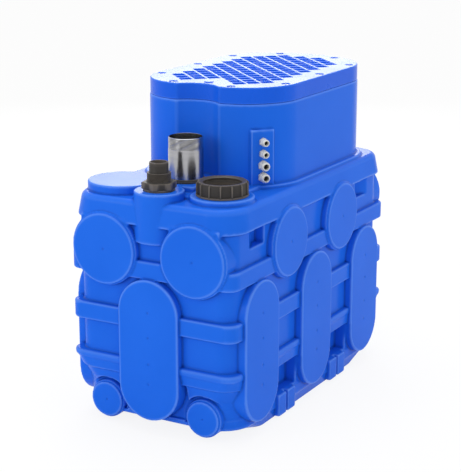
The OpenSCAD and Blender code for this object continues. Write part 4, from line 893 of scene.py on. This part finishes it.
dark_moulded = finish("black_polypropylene", srgb(50, 46, 43), srgb(38, 35, 33), 0.46, shine=0.3,
                      cloud_scale=18, cloud_amount=0.5, grain_scale=900, depth=0.00008,
                      strength=0.5, edge=srgb(118, 110, 102), hollow=srgb(28, 26, 24),
                      edge_amount=0.6)
add_piece("inlet_nut_moulding", nut_mesh, dark_moulded, "inlet_nut", "dark_plastic",
          "inlet_ring_nut")

# ---------------------------------------------------------------------------
# Vent adapter. Black polypropylene, moulded in one: a flange, a hexagon for a wrench, a 2 inch
# thread and a plain end for a smaller hose. It is held by its tail and a nut in the tank.
# ---------------------------------------------------------------------------
THREAD_PITCH = 2.309
HEX_TURN = math.radians(12)


def hexagon(across):
    """The radius of a hexagon of a given width across its flats, by angle."""
    def radius(angles, z):
        off = (angles - HEX_TURN + math.pi / 6) % (math.pi / 3) - math.pi / 6
        return across / 2 / np.cos(math.pi / 6 - np.abs(off))
    return radius


def thread(low, high, depth):
    """A helical groove's depth by angle and height, fading out at both ends of the thread."""
    def groove(angles, z):
        turn = (z / THREAD_PITCH - angles / (2 * math.pi)) % 1
        cut = depth * ease(np.abs(turn - 0.5) * 2, 0.12, 0.88)
        return -cut * min(1, max(0, (z - low) / 1.5), max(0, (high - z) / 1.5))
    return groove


def thread_rows(radius, low, high, step=0.33):
    return [(radius, z, 1) for z in np.linspace(low, high, int((high - low) / step))]


ADAPTER_STEPS, TAIL_LOW = 96, 597.5
VENT_THREAD_LOW, VENT_THREAD_HIGH = 643.2, 663.4
lower = turned([(23.5, TAIL_LOW, 0), (23.5, 621.5, 0), (38.9, 621.5, 0), (39.5, 622.0, 0),
                (39.5, 624.3, 0), (38.9, 625.0, 0)], ADAPTER_STEPS, start=HEX_TURN)
hexed = turned([(0, 625.0, 1), (0, 639.8, 1), (-1.5, 641.5, 1)], ADAPTER_STEPS, hexagon(76),
               HEX_TURN)
threaded = turned([(31.6, 641.5, 0), (30.2, 643.0, 0)]
                  + thread_rows(29.8, VENT_THREAD_LOW, VENT_THREAD_HIGH)
                  + [(28.9, 664.0, 0)], ADAPTER_STEPS,
                  thread(VENT_THREAD_LOW, VENT_THREAD_HIGH, 1.25), HEX_TURN)
upper = turned([(24.9, 664.0, 0), (24.2, 664.5, 0), (23.9, 665.4, 0), (23.7, 686.6, 0),
                (23.2, 689.0, 0), (22.6, 690.0, 0), (20.3, 690.0, 0), (19.5, 689.3, 0),
                (19.5, TAIL_LOW, 0)], ADAPTER_STEPS, start=HEX_TURN)
adapter = np.concatenate([lower, hexed, threaded, upper])
adapter_mesh = ring_mesh("adapter", [moved(adapter, COLUMN_X, 0)])
add_piece("vent_adapter_moulding", adapter_mesh, dark_moulded, "station", "dark_plastic",
          "vent_adapter")

# ---------------------------------------------------------------------------
# Discharge nipple and its seal. A polished stainless pipe with a 3 inch thread cut at its top,
# pushed through a moulded rubber seal that sits in the pedestal.
# ---------------------------------------------------------------------------
PIPE_R, PIPE_BORE_R, THREAD_R, PIPE_FOOT = 44.45, 41.25, 43.95, 542.0
THREAD_LOW, THREAD_HIGH, PIPE_TOP = 701.4, 730.6, 731.5
pipe_rows = ([(PIPE_R, PIPE_FOOT, 0), (PIPE_R, 700.2, 0), (43.7, 701.0, 0)]
             + thread_rows(THREAD_R, THREAD_LOW, THREAD_HIGH)
             + [(43.2, 731.2, 0), (42.6, PIPE_TOP, 0), (41.6, PIPE_TOP, 0),
                (PIPE_BORE_R, 731.1, 0), (PIPE_BORE_R, PIPE_FOOT, 0)])
pipe_mesh = ring_mesh("nipple", [moved(
    turned(pipe_rows, 144, thread(THREAD_LOW, THREAD_HIGH, 1.15)), NIPPLE_X, 0)], 40)

# Drawn lines: fine streaks along or round a pipe, for its roughness, its colour and its bump
drawn, into, out = new_group(
    "drawn_lines",
    [("Stretch", VECTOR, (60, 60, 2)), ("Depth", FLOAT, 0.00005), ("Strength", FLOAT, 0.2)],
    [("Mask", FLOAT), ("Normal", VECTOR)])
place = drawn.nodes.new("ShaderNodeTexCoord")
stretch = drawn.nodes.new("ShaderNodeVectorMath")
stretch.operation = "MULTIPLY"
link(drawn, place.outputs["Object"], stretch.inputs[0])
link(drawn, into.outputs["Stretch"], stretch.inputs[1])
streaks = drawn.nodes.new("ShaderNodeTexNoise")
streaks.inputs["Scale"].default_value = 1.0
streaks.inputs["Detail"].default_value = 5
link(drawn, stretch.outputs["Vector"], streaks.inputs["Vector"])
bump = drawn.nodes.new("ShaderNodeBump")
link(drawn, streaks.outputs["Fac"], bump.inputs["Height"])
link(drawn, into.outputs["Depth"], bump.inputs["Distance"])
link(drawn, into.outputs["Strength"], bump.inputs["Strength"])
link(drawn, streaks.outputs["Fac"], out.inputs["Mask"])
link(drawn, bump.outputs["Normal"], out.inputs["Normal"])


def drawn_metal(name, pale, dark, rough_low, rough_high, stretch, depth, strength):
    """A metal from the shared streaks: its colour and roughness follow the drawn lines."""
    material = bpy.data.materials.new(name)
    material.use_nodes = True
    tree = material.node_tree
    shader = tree.nodes["Principled BSDF"]
    shader.inputs["Metallic"].default_value = 1.0
    lines = place_group(tree, drawn, Stretch=stretch, Depth=depth, Strength=strength)
    mix = tree.nodes.new("ShaderNodeMix")
    mix.data_type = "RGBA"
    mix.inputs["A"].default_value = pale
    mix.inputs["B"].default_value = dark
    link(tree, lines.outputs["Mask"], mix.inputs["Factor"])
    link(tree, mix.outputs["Result"], shader.inputs["Base Color"])
    rough = tree.nodes.new("ShaderNodeMapRange")
    rough.inputs["From Min"].default_value = 0.3
    rough.inputs["From Max"].default_value = 0.7
    rough.inputs["To Min"].default_value = rough_low
    rough.inputs["To Max"].default_value = rough_high
    link(tree, lines.outputs["Mask"], rough.inputs["Value"])
    link(tree, rough.outputs["Result"], shader.inputs["Roughness"])
    link(tree, lines.outputs["Normal"], shader.inputs["Normal"])
    return material


polished_steel = drawn_metal("polished_stainless", srgb(178, 178, 180), srgb(166, 166, 169),
                             0.2, 0.27, (4, 4, 260), 0.000002, 0.01)
add_piece("discharge_pipe", pipe_mesh, polished_steel, "station", "stainless",
          "discharge_nipple")

seal_rows = [(44.55, 608.5, 0), (46.95, 608.5, 0), (46.95, 619.5, 0), (48.2, 619.6, 0),
             (48.5, 620.2, 0), (48.5, 622.6, 0), (47.6, 623.4, 0), (47.4, 626.6, 0),
             (46.9, 627.6, 0), (45.6, 628.0, 0), (44.55, 627.6, 0)]
seal_mesh = ring_mesh("pipe_seal", [moved(turned(seal_rows, 96), NIPPLE_X, 0)], 40)
rubber = finish("black_rubber", srgb(62, 58, 55), srgb(46, 44, 42), 0.62, cloud_scale=22,
                cloud_amount=0.6, grain_scale=1200, depth=0.0001, strength=0.5,
                edge=srgb(92, 88, 84), hollow=srgb(24, 23, 22), edge_amount=0.4)
add_piece("pipe_seal_moulding", seal_mesh, rubber, "station", "black_rubber", "nipple_seal")

# ---------------------------------------------------------------------------
# Cable glands' cap nuts. Light grey polyamide, moulded: a hexagon and a dome with the cable's
# hole. Each screws on its body and squeezes a seal round the cable.
# ---------------------------------------------------------------------------


def on_panel(rings, height):
    """Turns rings round an upright axis to stand out of the hood's panel at a height."""
    c, s = math.cos(PANEL_TURN), math.sin(PANEL_TURN)
    out, side, up = rings[..., 2] + PANEL_FACE, rings[..., 1] - PANEL_SHIFT, rings[..., 0] + height
    return np.stack([out * c - side * s + PANEL_CENTRE[0],
                     out * s + side * c + PANEL_CENTRE[1], up], -1)


caps = []
for height, d in GLANDS:
    base = turned([(0, 6.2, 1), (0, 12.6, 1), (-0.5, 13.6, 1)], 72, hexagon(d * 1.143))
    dome = turned([(d * 0.575, 13.9, 0), (d * 0.585, 14.6, 0), (d * 0.575, 18.8, 0),
                   (d * 0.545, 21.2, 0), (d * 0.49, 23.0, 0), (d * 0.43, 23.9, 0),
                   (d * 0.385, 24.0, 0), (d * 0.36, 23.5, 0), (d * 0.36, 20.0, 0),
                   (d / 2 - 0.9, 20.0, 0), (d / 2 - 0.9, 6.2, 0)], 72)
    caps.append(on_panel(np.concatenate([base, dome]), height))
grey_polyamide = finish("grey_polyamide", srgb(214, 214, 208), srgb(196, 196, 190), 0.4,
                        cloud_scale=30, cloud_amount=0.4, grain_scale=1500, depth=0.00004,
                        strength=0.4, edge=srgb(238, 238, 232), hollow=srgb(150, 150, 146),
                        edge_amount=0.5, hollow_amount=0.15)
add_piece("gland_caps", ring_mesh("gland_caps", caps, 30), grey_polyamide, "station",
          "light_plastic", "gland_cap_nuts")

# ---------------------------------------------------------------------------
# Pieces that stay as the solids are. Pumps, check valves, pipes, floats, seals and small
# fasteners take the finish of what they are made of.
# ---------------------------------------------------------------------------


def dress(material, *names):
    """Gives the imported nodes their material; their shapes stay."""
    for name in names:
        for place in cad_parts[name].material_slots:
            place.material = material


def pair(*names):
    """The names of both pieces of a kind, first and second."""
    return [name.replace("#", k) for name in names for k in "ab"]


dress(lid_blue, "lid_plug")
dress(dark_moulded, "inlet_collar", "vent_locknut", *pair("float_switch_#"))
dress(rubber, "lid_gasket", "inlet_lip_seal", "vent_gasket", "gland_seals",
      *pair("check_valve_ball_#", "pump_#_shaft_seal"))
dress(grey_polyamide, "gland_bodies", "gland_locknuts")
dress(polished_steel, "lid_screws", "small_screws", *pair("pump_#_handle", "pump_#_rotor",
                                                          "pump_#_bearings"))
pipe_steel = drawn_metal("drawn_stainless", srgb(190, 191, 194), srgb(140, 141, 145), 0.24, 0.42,
                         (220, 220, 8), 0.00005, 0.3)
dress(pipe_steel, "float_rail", *pair("riser_pipe_#", "pump_#_motor_housing", "float_lever_#"))
coated = finish("epoxy_coated_iron", srgb(52, 62, 76), srgb(42, 50, 62), 0.44, cloud_scale=12,
                grain_scale=260, depth=0.0006, strength=0.5, edge=srgb(96, 106, 120),
                hollow=srgb(24, 28, 36), edge_amount=0.5)
dress(coated, "collector", *pair("discharge_elbow_#", "check_valve_body_#", "check_valve_cover_#",
                                 "pump_#_suction_plate", "pump_#_volute",
                                 "pump_#_bearing_bracket", "pump_#_top_cover"))
bare_iron = finish("bare_cast_iron", srgb(112, 112, 114), srgb(88, 84, 82), 0.62, metallic=0.6,
                   cloud_scale=24, grain_scale=320, depth=0.0008, strength=0.7,
                   edge=srgb(158, 158, 160), hollow=srgb(58, 50, 46))
dress(bare_iron, *pair("pump_#_impeller"))
brass = drawn_metal("turned_brass", srgb(206, 166, 92), srgb(170, 130, 66), 0.22, 0.4,
                    (30, 30, 1400), 0.00004, 0.3)
dress(brass, "lid_inserts")
winding = finish("varnished_winding", srgb(150, 84, 44), srgb(104, 54, 28), 0.34, metallic=0.5,
                 cloud_scale=120, cloud_amount=0.8, grain_scale=500, depth=0.0012, strength=0.9,
                 edge=srgb(196, 128, 80), hollow=srgb(60, 30, 16))
dress(winding, *pair("pump_#_stator"))
float_orange = finish("orange_polypropylene", srgb(230, 112, 34), srgb(212, 96, 26), 0.4,
                      cloud_scale=14, grain_scale=800, depth=0.0001, strength=0.4,
                      edge=srgb(246, 160, 100), hollow=srgb(150, 62, 14), edge_amount=0.5)
dress(float_orange, *pair("float_ball_#"))
